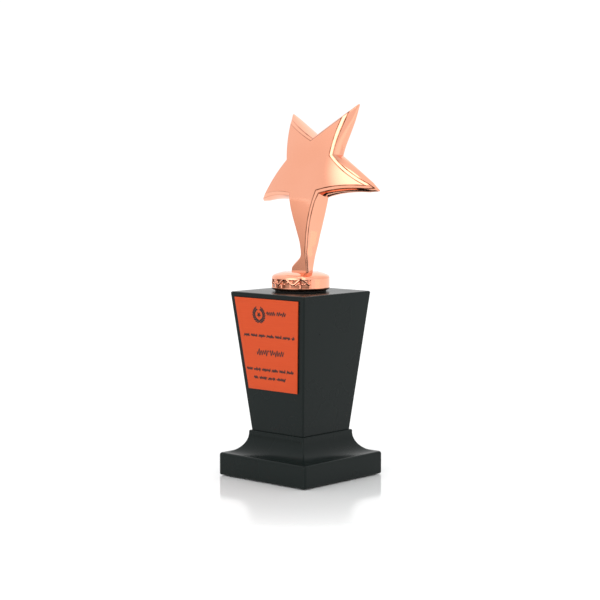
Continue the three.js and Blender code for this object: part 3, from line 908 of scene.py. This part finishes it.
keep(makePrint(), plainMaterials["printInk"])
laurel = newObject("plateLaurel", bpy.data.meshes.new("plateLaurel"))
growMesh(laurel, laurelTree(), emblem)
layOnPlate(laurel, *emblemPlace)
keep(laurel, plainMaterials["printInk"])
print("name plate made")


# Star figure and the cover on its back

star = {
    "centre": (3.75, 0.6, 215.6),
    "lean": math.radians(12.3),
    "roll": math.radians(4.8),
    "upperTip": (23.4, 32),
    "topNotch": (1.9, 16.3),
    "sideNotch": (19.3, 4.7),
    "sideTip": (45.6, -16),
    "legRootLeft": (-15.6, -18.4),
    "legRootRight": (9.5, -18.6),
    # how far each edge bows inwards, as a share of its length, from the right leg root round to the
    # left one
    "frontHollows": (0.035, 0.05, 0.012, 0.015, 0.015, -0.012, 0.0, 0.035),
    "backHollows": (0.035, -0.008, 0.008, 0.0, 0.0, 0.008, -0.008, 0.035),
    "ankle": (-7.4, -3.7, -59),
    "ankleTaper": 0.18,
    "legLeft": [(-14.7, -27), (-12.6, -35.5), (-9.9, -44), (-7.6, -52), (-6.9, -59.5), (-8, -62.9),
        (-11.2, -65.4),
                (-15.8, -68.2), (-17.2, -70.2), (-17.6, -76)],
    "legRight": [(5.2, -27), (1.8, -35.5), (-0.6, -44), (-2.1, -52), (-3.2, -60), (-3, -68),
        (-2.8, -76)],
    "dome": 0.0045,
    "domeEnd": 24.2,
    "legThickness": [10.1, 12.6, 12.8, 11.2, 9.3, 7.8, 7.2],
    "legReach": (19, 80),
    "legTop": -20,  # where the caps' points start to run to the leg's middle
    # the height over which they turn to it on a whole leg and on a cut one, and the cut one's lift
    "spineReach": (34, 12, 1.5),
    "centreThickness": 11,
    "thickening": 0.03,
    "thinning": 0.002,
    "tipThinning": 0.0075,
    "tipStart": 16,
    "upperFrom": 20,  # corners above this height are the upper tips
    # height and width in mm, as for the outer reaches
    "bevelWidths": [(-61, 1.2), (-25, 1.45), (-18, 2.1), (-8, 2.2), (4, 1.7), (14, 1.8), (26, 2.1)],
    "bevelSlope": 0.86,
    "outerReaches": [(-61, 2.8), (-25, 3.7), (14, 3.7), (32, 5.0)],
    # longest corner over width, at the side tips and at the upper tips
    "bevelMitres": (3.0, 3.6),
    "backMitres": (2.3, 2.85),
    "rimRound": 0.8,
    "edgeRound": 0.2,
    # half width of the painted dark reflection line along the plateau edge and the foot of the bevel
    "paintedLineHalf": 0.26,
    # how dark the painted reflection line along the edges is at each corner, from the right leg root round to the
    # right of the foot
    "paintedLineShares": [1, 1, 1, 0.9, 0.8, 0.2, 0.05, 0.2, 0.35, 0.05, 0.8],
    # how far along the arm, and how dark, the shade painted in the inner corners reaches
    "cornerShadeReach": 0.34,
    "cornerShadeDepth": 0.7,
    "armSteps": 18,
    "legSteps": 64,
    "capSteps": 16,
    "tipRound": (0.5, 1.5),
    "notchRound": 0.3,
}
cover = {"overlap": 0.9, "thickness": 1.2, "sunk": 0.3, "gap": 0.3, "legShare": 0.3}


def bowedEdge(start, end, hollow, steps):
    start, end = np.array(start, float), np.array(end, float)
    along = end - start
    bow = (start + end) / 2 + 2 * hollow * np.array([-along[1], along[0]])
    t = np.linspace(0, 1, steps + 1)[:, None]
    return (1 - t) ** 2 * start + 2 * t * (1 - t) * bow + t ** 2 * end


def softEdge(points, share, steps):
    # A Catmull-Rom curve through the points, up to that share of its length
    points = np.array(points, float)
    padded = np.vstack([points[0], points, points[-1]])
    made = []
    for u in np.linspace(0, share, steps + 1) * (len(points) - 1):
        i = min(int(u), len(points) - 2)
        t = u - i
        a, b, c, d = padded[i:i + 4]
        made.append(0.5 * (2 * b + (c - a) * t + (2 * a - 5 * b + 4 * c - d) * t ** 2
                           + (3 * b - a - 3 * c + d) * t ** 3))
    return np.array(made)


def starEdges(legShare, toes, hollows=star["frontHollows"]):
    mirror = lambda p: (-p[0], p[1])
    corners = [star["legRootRight"], star["sideTip"], star["sideNotch"], star["upperTip"],
        star["topNotch"],
               mirror(star["upperTip"]), mirror(star["sideNotch"]), mirror(star["sideTip"]),
               star["legRootLeft"]]
    edges = []
    for i, (a, b) in enumerate(zip(corners, corners[1:])):
        edges.append(bowedEdge(a, b, hollows[i], star["armSteps"]))
    ankleLeft, ankleRight, ankleZ = star["ankle"]
    left = [p if toes or p[1] > ankleZ else (max(p[0], ankleLeft), p[1]) for p in star["legLeft"]]
    right = [p if toes or p[1] > ankleZ else (ankleRight + star["ankleTaper"] * (p[1] - ankleZ), p[1])
             for p in star["legRight"]]
    steps = star["legSteps"] if legShare == 1 else 24
    leftEdge = softEdge([star["legRootLeft"]] + left, legShare, steps)
    rightEdge = softEdge([star["legRootRight"]] + right, legShare, steps)
    edges.append(leftEdge)
    edges.append(np.linspace(leftEdge[-1], rightEdge[-1], 7))
    edges.append(rightEdge[::-1])
    return edges


def lengthsOf(points):
    return np.concatenate([[0], np.cumsum(np.linalg.norm(np.diff(points, axis=0), axis=1))])


def resampled(points, count, startTrim, endTrim):
    along = lengthsOf(points)
    wanted = np.linspace(startTrim, along[-1] - endTrim, count)
    return np.stack([np.interp(wanted, along, points[:, k]) for k in range(2)], 1)


def offsetLoop(edges, distance, tipRound, mitres=star["bevelMitres"]):
    # Moves the edges outwards, joins them again at mitred corners and rounds those corners a little
    moved, slopes = [], []
    for points in edges:
        slope = np.gradient(points, axis=0)
        slope /= np.linalg.norm(slope, axis=1)[:, None]
        out = np.stack([slope[:, 1], -slope[:, 0]], 1)
        moved.append(points + out * distance(points)[:, None])
        slopes.append(slope)
    count = len(edges)
    corners, convex = [], []
    for i in range(count):
        a, b = moved[i][-1], moved[(i + 1) % count][0]
        u, v = slopes[i][-1], slopes[(i + 1) % count][0]
        turn = u[0] * v[1] - u[1] * v[0]
        at = edges[i][-1]
        if abs(turn) < 0.05:
            corner = (a + b) / 2
        else:
            along = ((b - a)[0] * v[1] - (b - a)[1] * v[0]) / turn
            corner = a + u * along
        reach, limit = np.linalg.norm(corner - at), mitres[int(at[1] > star["upperFrom"])] * abs(distance(at[None])[0])
        if reach > limit > 0:
            corner = at + (corner - at) * limit / reach
        corners.append(corner)
        convex.append(turn > 0)
    loop = []
    for i, points in enumerate(moved):
        first, last = corners[i - 1], corners[i]
        start, end = np.linalg.norm(points[0] - first), np.linalg.norm(points[-1] - last)
        along = lengthsOf(points)
        outward = distance(edges[i][:1])[0] >= 0
        inside = np.ones(len(points), bool)
        if convex[i - 1] != outward:
            inside &= along > start
        if convex[i] != outward:
            inside &= along < along[-1] - end
        edge = np.vstack([first, points[inside], last])
        longest = 0.2 * lengthsOf(edge)[-1]
        ease = [min(tipRound if convex[k] else star["notchRound"], longest) for k in (i - 1, i)]
        loop.append(resampled(edge, len(points), *ease))
    outline = []
    for i, edge in enumerate(loop):
        outline += list(edge)
        nextStart = loop[(i + 1) % count][0]
        for t in np.linspace(0, 1, 7)[1:-1]:
            outline.append((1 - t) ** 2 * edge[-1] + 2 * t * (1 - t) * corners[i] + t ** 2 * nextStart)
    return np.array(outline)


def bevelWidth(points):
    return np.interp(points[:, 1], *zip(*star["bevelWidths"]))


def outerReach(points):
    return np.interp(points[:, 1], *zip(*star["outerReaches"]))


def spineOf(outline, legShare):
    # Where each point of a cap runs to: the centre for the arms, the middle of the leg for the leg
    last = 8 * (star["armSteps"] + 6)
    wholeReach, cutReach, cutLift = star["spineReach"]
    spine = np.zeros_like(outline)
    leg = outline[last:]
    z = leg[:, 1]
    left, right = softEdge([star["legRootLeft"]] + star["legLeft"], 1, 80), softEdge(
        [star["legRootRight"]] + star["legRight"], 1, 80)
    middle = (np.interp(-z, -left[:, 1], left[:, 0]) + np.interp(-z, -right[:, 1], right[:, 0])) / 2
    reach = wholeReach if legShare == 1 else cutReach
    blend = np.clip((star["legTop"] - z) / reach, 0, 1)
    blend = blend * blend * (3 - 2 * blend)
    target = np.stack([middle, z + (cutLift if legShare < 1 else 0)], 1)
    spine[last:] = target * blend[:, None]
    return spine


def aroundOutline(cornerValues):
    # Values at the corners, spread evenly along the edges between them, one for each point of an outline
    counts = [star["armSteps"] + 1] * 8 + [star["legSteps"] + 1, 7, star["legSteps"] + 1]
    spread = []
    for count, first, last in zip(counts, cornerValues, cornerValues[1:] + cornerValues[:1]):
        spread += list(np.linspace(first, last, count)) + [last] * 5
    return np.array(spread)


def paintedCornerShade():
    # Painted shade: 1 where a side arm's edge meets the body, falling to 0 along the arm
    near = np.clip(1 - np.linspace(0, 1, star["armSteps"] + 1) / star["cornerShadeReach"], 0, 1)
    blank, leg, foot = 0 * near, np.zeros(star["legSteps"] + 1), np.zeros(7)
    runs = [near, near[::-1], blank, blank, blank, blank, near, near[::-1], leg, foot, leg]
    return np.concatenate([np.append(run, [run[-1]] * 5) for run in runs])


def levelPoints(outline, share, drop, patinaAndShade=0):
    # x, z and what the Geometry Nodes tree needs to place them in depth
    flat = np.zeros((len(outline), 6))
    flat[:, 0], flat[:, 2] = outline[:, 0], outline[:, 1]
    flat[:, 3], flat[:, 4], flat[:, 5] = share, drop, patinaAndShade
    return flat


def flatStar(name, levels, legShare):
    # levels: outline, share of the thickness, drop in mm, painted shade; front first. Caps close both ends.
    rings = []
    for position, (outline, share, drop, *_) in ((0, levels[0]), (1, levels[-1])):
        spine = spineOf(outline, legShare)
        cap = [levelPoints(outline + (spine - outline) * t, share, drop)
               for t in np.linspace(0, 1, star["capSteps"] + 1)[1:]]
        if position == 0:
            rings += cap[::-1] + [levelPoints(*level) for level in levels]
        else:
            rings += cap
    rings = np.array(rings)
    piece = meshFromRings(name, rings[:, :, :3] / mm)
    for column, label in ((3, "share"), (4, "drop"), (5, "patinaAndShade")):
        addValues(piece, label, rings[:, :, column])
    return piece


def starShapeTree():
    # Gives a flat star its domed front, its thickness and its place, from x and z alone
    tree, given = newTree("starShape", {
        "Dome": "Float", "Dome End": "Float", "Centre Thickness": "Float", "Thickening": "Float",
        "Thinning": "Float", "Tip Thinning": "Float", "Tip Start": "Float", "Lean": "Float",
        "Roll": "Float", "Centre": "Vector"})
    place = addNode(tree, "ShaderNodeSeparateXYZ", {0: addNode(tree, "GeometryNodeInputPosition")})
    x, z = place.outputs["X"], place.outputs["Z"]
    share = addNode(tree, "GeometryNodeInputNamedAttribute", {"Name": "share"}, data_type="FLOAT")
    drop = addNode(tree, "GeometryNodeInputNamedAttribute", {"Name": "drop"}, data_type="FLOAT")
    squareX = addNode(tree, "ShaderNodeMath", {0: x, 1: x}, operation="MULTIPLY")

    # front: a dome that runs on as a straight slope below its end
    low = addNode(tree, "ShaderNodeMath", {0: given["Dome End"], 1: -1.0}, operation="MULTIPLY")
    heldZ = addNode(tree, "ShaderNodeMath", {0: z, 1: low}, operation="MAXIMUM")
    squareZ = addNode(tree, "ShaderNodeMath", {0: heldZ, 1: heldZ}, operation="MULTIPLY")
    below = addNode(tree, "ShaderNodeMath", {0: heldZ, 1: z}, operation="SUBTRACT")
    slope = addNode(tree, "ShaderNodeMath", {0: given["Dome End"], 1: 2.0}, operation="MULTIPLY")
    fall = addNode(tree, "ShaderNodeMath", {0: below, 1: slope, 2: squareZ}, operation="MULTIPLY_ADD")
    both = addNode(tree, "ShaderNodeMath", {0: squareX, 1: fall}, operation="ADD")
    front = addNode(tree, "ShaderNodeMath", {0: both, 1: given["Dome"]}, operation="MULTIPLY")

    # thickness: a gentle rule for the arms and a curve down the leg
    top, end = star["legReach"]
    upper = addNode(tree, "ShaderNodeMath", {
        0: z, 1: given["Thickening"], 2: given["Centre Thickness"]}, operation="MULTIPLY_ADD")
    downLeg = addNode(tree, "ShaderNodeMapRange", {0: z, "From Min": -top, "From Max": -end})
    curve = addNode(tree, "ShaderNodeFloatCurve", {"Value": downLeg})
    points = curve.mapping.curves[0].points
    tallest = 20
    shares = np.linspace(0, 1, len(star["legThickness"]))
    while len(points) < len(shares):
        points.new(0.5, 0.5)
    for point, at, thickness in zip(points, shares, star["legThickness"]):
        point.location = (at, thickness / tallest)
    curve.mapping.update()
    lower = addNode(tree, "ShaderNodeMath", {0: curve, 1: float(tallest)}, operation="MULTIPLY")
    onArms = addNode(tree, "FunctionNodeCompare", {0: z, 1: float(-top)}, data_type="FLOAT",
        operation="GREATER_THAN")
    unthinned = addNode(tree, "GeometryNodeSwitch", {0: onArms, 1: lower, 2: upper}, input_type="FLOAT")
    above = addNode(tree, "ShaderNodeMath", {0: z, 1: given["Tip Start"]}, operation="SUBTRACT")
    nearTip = addNode(tree, "ShaderNodeMath", {0: above, 1: 0.0}, operation="MAXIMUM")
    squareTip = addNode(tree, "ShaderNodeMath", {0: nearTip, 1: nearTip}, operation="MULTIPLY")
    tipThin = addNode(tree, "ShaderNodeMath", {0: squareTip, 1: given["Tip Thinning"]},
        operation="MULTIPLY")
    plain = addNode(tree, "ShaderNodeMath", {0: unthinned, 1: tipThin}, operation="SUBTRACT")
    thin = addNode(tree, "ShaderNodeMath", {0: squareX, 1: given["Thinning"]}, operation="MULTIPLY")
    thickness = addNode(tree, "ShaderNodeMath", {0: plain, 1: thin}, operation="SUBTRACT")

    part = addNode(tree, "ShaderNodeMath", {0: thickness, 1: share, 2: front}, operation="MULTIPLY_ADD")
    depth = addNode(tree, "ShaderNodeMath", {0: part, 1: drop}, operation="ADD")
    shaped = addNode(tree, "ShaderNodeCombineXYZ", {"X": x, "Y": depth, "Z": z})
    solid = addNode(tree, "GeometryNodeSetPosition", {"Geometry": given["Geometry"], "Position": shaped})
    backRoll = addNode(tree, "ShaderNodeMath", {0: given["Roll"], 1: -1.0}, operation="MULTIPLY")
    rollTurn = addNode(tree, "ShaderNodeCombineXYZ", {"Y": backRoll})
    rolled = addNode(tree, "GeometryNodeTransform", {"Geometry": solid, "Rotation": rollTurn})
    backLean = addNode(tree, "ShaderNodeMath", {0: given["Lean"], 1: -1.0}, operation="MULTIPLY")
    leanTurn = addNode(tree, "ShaderNodeCombineXYZ", {"X": backLean})
    leaned = addNode(tree, "GeometryNodeTransform", {
        "Geometry": rolled, "Rotation": leanTurn, "Translation": given["Centre"]})
    metres = addNode(tree, "GeometryNodeTransform", {"Geometry": leaned, "Scale": (mm, mm, mm)})
    endTree(tree, metres, copperPlating)
    return tree


starTree = starShapeTree()
starValues = {
    "Dome": star["dome"], "Dome End": star["domeEnd"],
    "Centre Thickness": float(star["centreThickness"]),
    "Thickening": star["thickening"], "Thinning": star["thinning"],
    "Tip Thinning": star["tipThinning"], "Tip Start": float(star["tipStart"]), "Lean": star["lean"],
    "Roll": star["roll"],
    "Centre": star["centre"]}


def makeStar():
    front, back = starEdges(1, True), starEdges(1, False, star["backHollows"])
    edge, rim, slope, line = star["edgeRound"], star["rimRound"], star["bevelSlope"], star["paintedLineHalf"]
    innerTip, outerTip = star["tipRound"]
    # dark: the painted dark reflection line along the edges; corners: the shade painted in the inner corners
    dark, corners = aroundOutline(star["paintedLineShares"]), paintedCornerShade()
    levels = []
    # plateau edge, rounded over into the bevel, with a painted dark reflection line along it
    for out, down, patinaAndShade in ((-line - 0.12, 0, 0), (-line, 0, 1), (-edge, 0, 1),
        (-0.35 * edge, 0.08, 1),
                              (0.3 * edge, 0.36, 1), (edge, 1, 1), (line, line / edge, 1),
                              (line + 0.12, (line + 0.12) / edge, 0)):
        loop = offsetLoop(front, lambda p, o=out: o + 0 * p[:, 0], innerTip)
        levels.append((loop, 0, down * slope * edge, patinaAndShade * dark))
    # the bevel, and the same painted dark reflection line where it meets the wall
    for share, patinaAndShade in ((0.5, 0), (0.74, 0), (0.8, 1), (0.93, 1)):
        tip = innerTip + (outerTip - innerTip) * share
        loop = offsetLoop(front, lambda p, s=share: s * bevelWidth(p), tip)
        levels.append((loop, 0, share * slope * bevelWidth(loop), patinaAndShade * dark))
    foot = offsetLoop(front, bevelWidth, outerTip)
    drop = slope * bevelWidth(foot)
    levels.append((foot, 0.0, drop * 1.02, dark))
    widest = offsetLoop(back, outerReach, outerTip, star["backMitres"])
    # the wall: a painted dark line at its foot, and shade painted in the inner corners that fades up it
    for v in (0.02, 0.03, 0.08, 0.16, 0.28, 0.4, 0.55, 0.7, 0.85, 0.95, 1):
        belly = 1 - (1 - v) ** 2
        paintedShadeAndPatina = np.maximum(dark * (v == 0.02), star["cornerShadeDepth"] * corners * max(0, 1 - v / 0.6))
        levels.append((foot + (widest - foot) * belly, v, drop - (drop + rim) * v, paintedShadeAndPatina))
    for a in np.linspace(0, math.pi / 2, 6)[1:]:
        pull = rim * (1 - math.cos(a))
        loop = offsetLoop(back, lambda p, c=pull: outerReach(p) - c, outerTip, star["backMitres"])
        levels.append((loop, 1, rim * (math.sin(a) - 1), 0))
    piece = growMesh(flatStar("starFigure", levels, 1), starTree, starValues)
    bm = bmesh.new()
    bm.from_mesh(piece.data)
    bmesh.ops.remove_doubles(bm, verts=bm.verts, dist=0.002 * mm)
    everything = bm.verts[:] + bm.edges[:] + bm.faces[:]
    sliced = bmesh.ops.bisect_plane(bm, geom=everything, plane_co=(0, 0, seatZ * mm),
        plane_no=(0, 0, -1),
                                    clear_outer=True)
    rimEdges = [g for g in sliced["geom_cut"] if isinstance(g, bmesh.types.BMEdge)]
    bmesh.ops.edgeloop_fill(bm, edges=rimEdges)
    bmesh.ops.recalc_face_normals(bm, faces=bm.faces)
    bm.to_mesh(piece.data)
    bm.free()
    return piece


def starSlice(name, grow, back, front, edge=0.0):
    edges = starEdges(cover["legShare"], False)
    full = offsetLoop(edges, lambda p: grow + 0 * p[:, 0], 0.8)
    small = offsetLoop(edges, lambda p: grow - edge + 0 * p[:, 0], 0.8)
    levels = [(full, 1, front), (full, 1, back - edge), (small, 1, back)] if edge else [
        (full, 1, front), (full, 1, back)]
    piece = growMesh(flatStar(name, levels, cover["legShare"]), starTree, starValues)
    cleanMesh(piece)
    return piece


starPiece = makeStar()
recess = cover["thickness"] + cover["sunk"] + cover["gap"]
cut(starPiece, starSlice("coverRecess", cover["overlap"], 4, -recess))
keep(starPiece, copperPlating, ("star_figure",), crease=50)
coverPiece = starSlice("starBackCover", cover["overlap"] - cover["gap"], -cover["sunk"],
                       -cover["sunk"] - cover["thickness"], edge=0.2)
keep(coverPiece, copperPlating, ("star_back_cover",), crease=50)
print("star made")


# CAD pieces that keep their own mesh

carried = {
    "base_pad": plainMaterials["blackFibre"],
    "plate_adhesive": plainMaterials["foamTape"],
    "column_dowel_left": beech,
    "column_dowel_right": beech,
    "hex_nut": plainMaterials["zincPlatedSteel"],
    "spring_washer": plainMaterials["zincPlatedSteel"],
    "flat_washer": plainMaterials["zincPlatedSteel"],
    "threaded_rod": plainMaterials["zincPlatedSteel"],
}
for node, material in carried.items():
    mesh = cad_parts[node].data
    mesh.materials.clear()
    mesh.materials.append(material)


# Floor, light and camera

studio = {
    "floorSize": 14,
    "floorColour": "#fbfcfc",
    "floorRoughness": (0.05, 0.3),
    "floorShine": (0.58, 0.0),
    "floorFade": (0.06, 0.17),  # metres from the middle of the base
    "tent": 1.0,
    "tentPatches": [
        ((0.08, -0.94, 0.35), 4, 30, 1.6),
        ((-0.43, 0.74, 0.5), 10, 30, 0.2),
        ((0.97, 0.24, 0.05), 2, 14, 0.3),
        ((-0.67, 0.74, 0.0), 30, 60, 0.05),
        ((0, 0, 1), 20, 70, 0.15),
    ],
    # name, azimuth, distance, foot, top, width in metres, shade at the foot and at the top
    "cards": [
        ("cameraCard", 42.4, 1.5, 0.0, 1.4, 0.2, (0.1, 0.1)),
        ("lowCard", -45, 1.0, 0.0, 0.16, 0.8, (0.3, 1.0)),
        ("keyCard", 56, 1.2, 0.5, 1.25, 0.3, (3.2, 3.2)),
        ("sideCard", 112, 0.6, 0.005, 0.12, 0.25, (1.4, 1.4)),
    ],
    # name, place, turned towards, width, height and shade
    "extraCards": [
        ("topCard", (0.225, -0.225, 1.35), (0.02, 0, 0.2), 0.3, 0.24, 3.2),
        ("flagCard", (-0.118, 0.142, 0.001), (-0.118, 0.142, 1), 0.065, 0.06, 0.02),
    ],
    "cardColour": "#fff6f0",
    "cameraPlace": (0.7939, -0.8689, 0.2276),
    "cameraTurn": (84.87, 0, 42.44),
    "lens": 102.8,
}


def makeFloor():
    half = studio["floorSize"] / 2
    mesh = bpy.data.meshes.new("floor")
    mesh.from_pydata([(-half, -half, 0), (half, -half, 0), (half, half, 0), (-half, half, 0)], [],
        [(0, 1, 2, 3)])
    floor = newObject("floor", mesh)
    material, tree = newMaterial("whiteAcrylicSheet")
    # polished round the object and duller away from it, so that the reflection fades out
    place = addNode(tree, "ShaderNodeTexCoord").outputs["Object"]
    distance = addNode(tree, "ShaderNodeVectorMath", {0: place}, operation="LENGTH").outputs["Value"]
    near, far = studio["floorFade"]
    fades = [addNode(tree, "ShaderNodeMapRange", {
        0: distance, "From Min": near, "From Max": far, "To Min": first, "To Max": last})
        for first, last in (studio["floorRoughness"], studio["floorShine"])]
    shader = addNode(tree, "ShaderNodeBsdfPrincipled", {
        "Base Color": linear(studio["floorColour"]), "Roughness": fades[0],
        "Specular IOR Level": fades[1],
        "IOR": 1.5})
    addNode(tree, "ShaderNodeOutputMaterial", {"Surface": shader})
    mesh.materials.append(material)


def makeWorld():
    # A white tent that is brighter or darker round a few directions: direction, inner and outer angle,
    # gain
    world = bpy.data.worlds.new("studioTent")
    scene.world = world
    world.use_nodes = True
    tree = world.node_tree
    tree.nodes.clear()
    direction = addNode(tree, "ShaderNodeTexCoord").outputs["Generated"]
    total = addNode(tree, "ShaderNodeValue")
    total.outputs[0].default_value = studio["tent"]
    for axis, inner, outer, gain in studio["tentPatches"]:
        near = addNode(tree, "ShaderNodeVectorMath", {
            0: direction, 1: Vector(axis).normalized()}, operation="DOT_PRODUCT").outputs["Value"]
        patch = addNode(tree, "ShaderNodeMapRange", {
            0: near, "From Min": math.cos(math.radians(outer)),
            "From Max": math.cos(math.radians(inner))},
            interpolation_type="SMOOTHSTEP")
        total = addNode(tree, "ShaderNodeMath", {0: patch, 1: gain, 2: total}, operation="MULTIPLY_ADD")
    shine = addNode(tree, "ShaderNodeBackground", {"Color": (1, 1, 1, 1), "Strength": total})
    addNode(tree, "ShaderNodeOutputWorld", {"Surface": shine})


def addCard(name, place, target, size, low, high):
    # A card that only reflections see; its shade runs from low at the foot to high at the top
    w, h = size[0] / 2, size[1] / 2
    mesh = bpy.data.meshes.new(name)
    mesh.from_pydata([(-w, -h, 0), (w, -h, 0), (w, h, 0), (-w, h, 0)], [], [(0, 1, 2, 3)])
    card = newObject(name, mesh)
    card.location = place
    card.rotation_euler = (Vector(target) - Vector(place)).to_track_quat("Z", "Y").to_euler()
    material, tree = newMaterial(name + "Paper")
    height = addNode(tree, "ShaderNodeSeparateXYZ", {
        0: addNode(tree, "ShaderNodeTexCoord").outputs["Object"]}).outputs["Y"]
    shade = addNode(tree, "ShaderNodeMapRange", {
        0: height, "From Min": -h, "From Max": h, "To Min": low, "To Max": high})
    shader = addNode(tree, "ShaderNodeEmission", {"Color": linear(studio["cardColour"]),
        "Strength": shade})
    addNode(tree, "ShaderNodeOutputMaterial", {"Surface": shader})
    mesh.materials.append(material)
    card.visible_camera = False
    card.visible_diffuse = False
    card.visible_shadow = False


def makeCamera():
    camera = bpy.data.cameras.new("camera")
    camera.lens, camera.sensor_width = studio["lens"], 36
    camera.clip_start, camera.clip_end = 0.05, 50
    thing = bpy.data.objects.new("camera", camera)
    thing.location = studio["cameraPlace"]
    thing.rotation_euler = [math.radians(a) for a in studio["cameraTurn"]]
    scene.collection.objects.link(thing)
    scene.camera = thing


def fromHeart(azimuth, distance, height):
    # azimuth in degrees from straight in front of the plate, towards the right
    a = math.radians(azimuth)
    return (distance * math.sin(a), -distance * math.cos(a), height)


makeFloor()
makeWorld()
makeCamera()
for name, azimuth, distance, low, high, width, shades in studio["cards"]:
    middle = (low + high) / 2
    addCard(name, fromHeart(azimuth, distance, middle), (0, 0, middle), (width, high - low), *shades)
for name, place, target, width, height, shade in studio["extraCards"]:
    addCard(name, place, target, (width, height), shade, shade)
print("studio made")
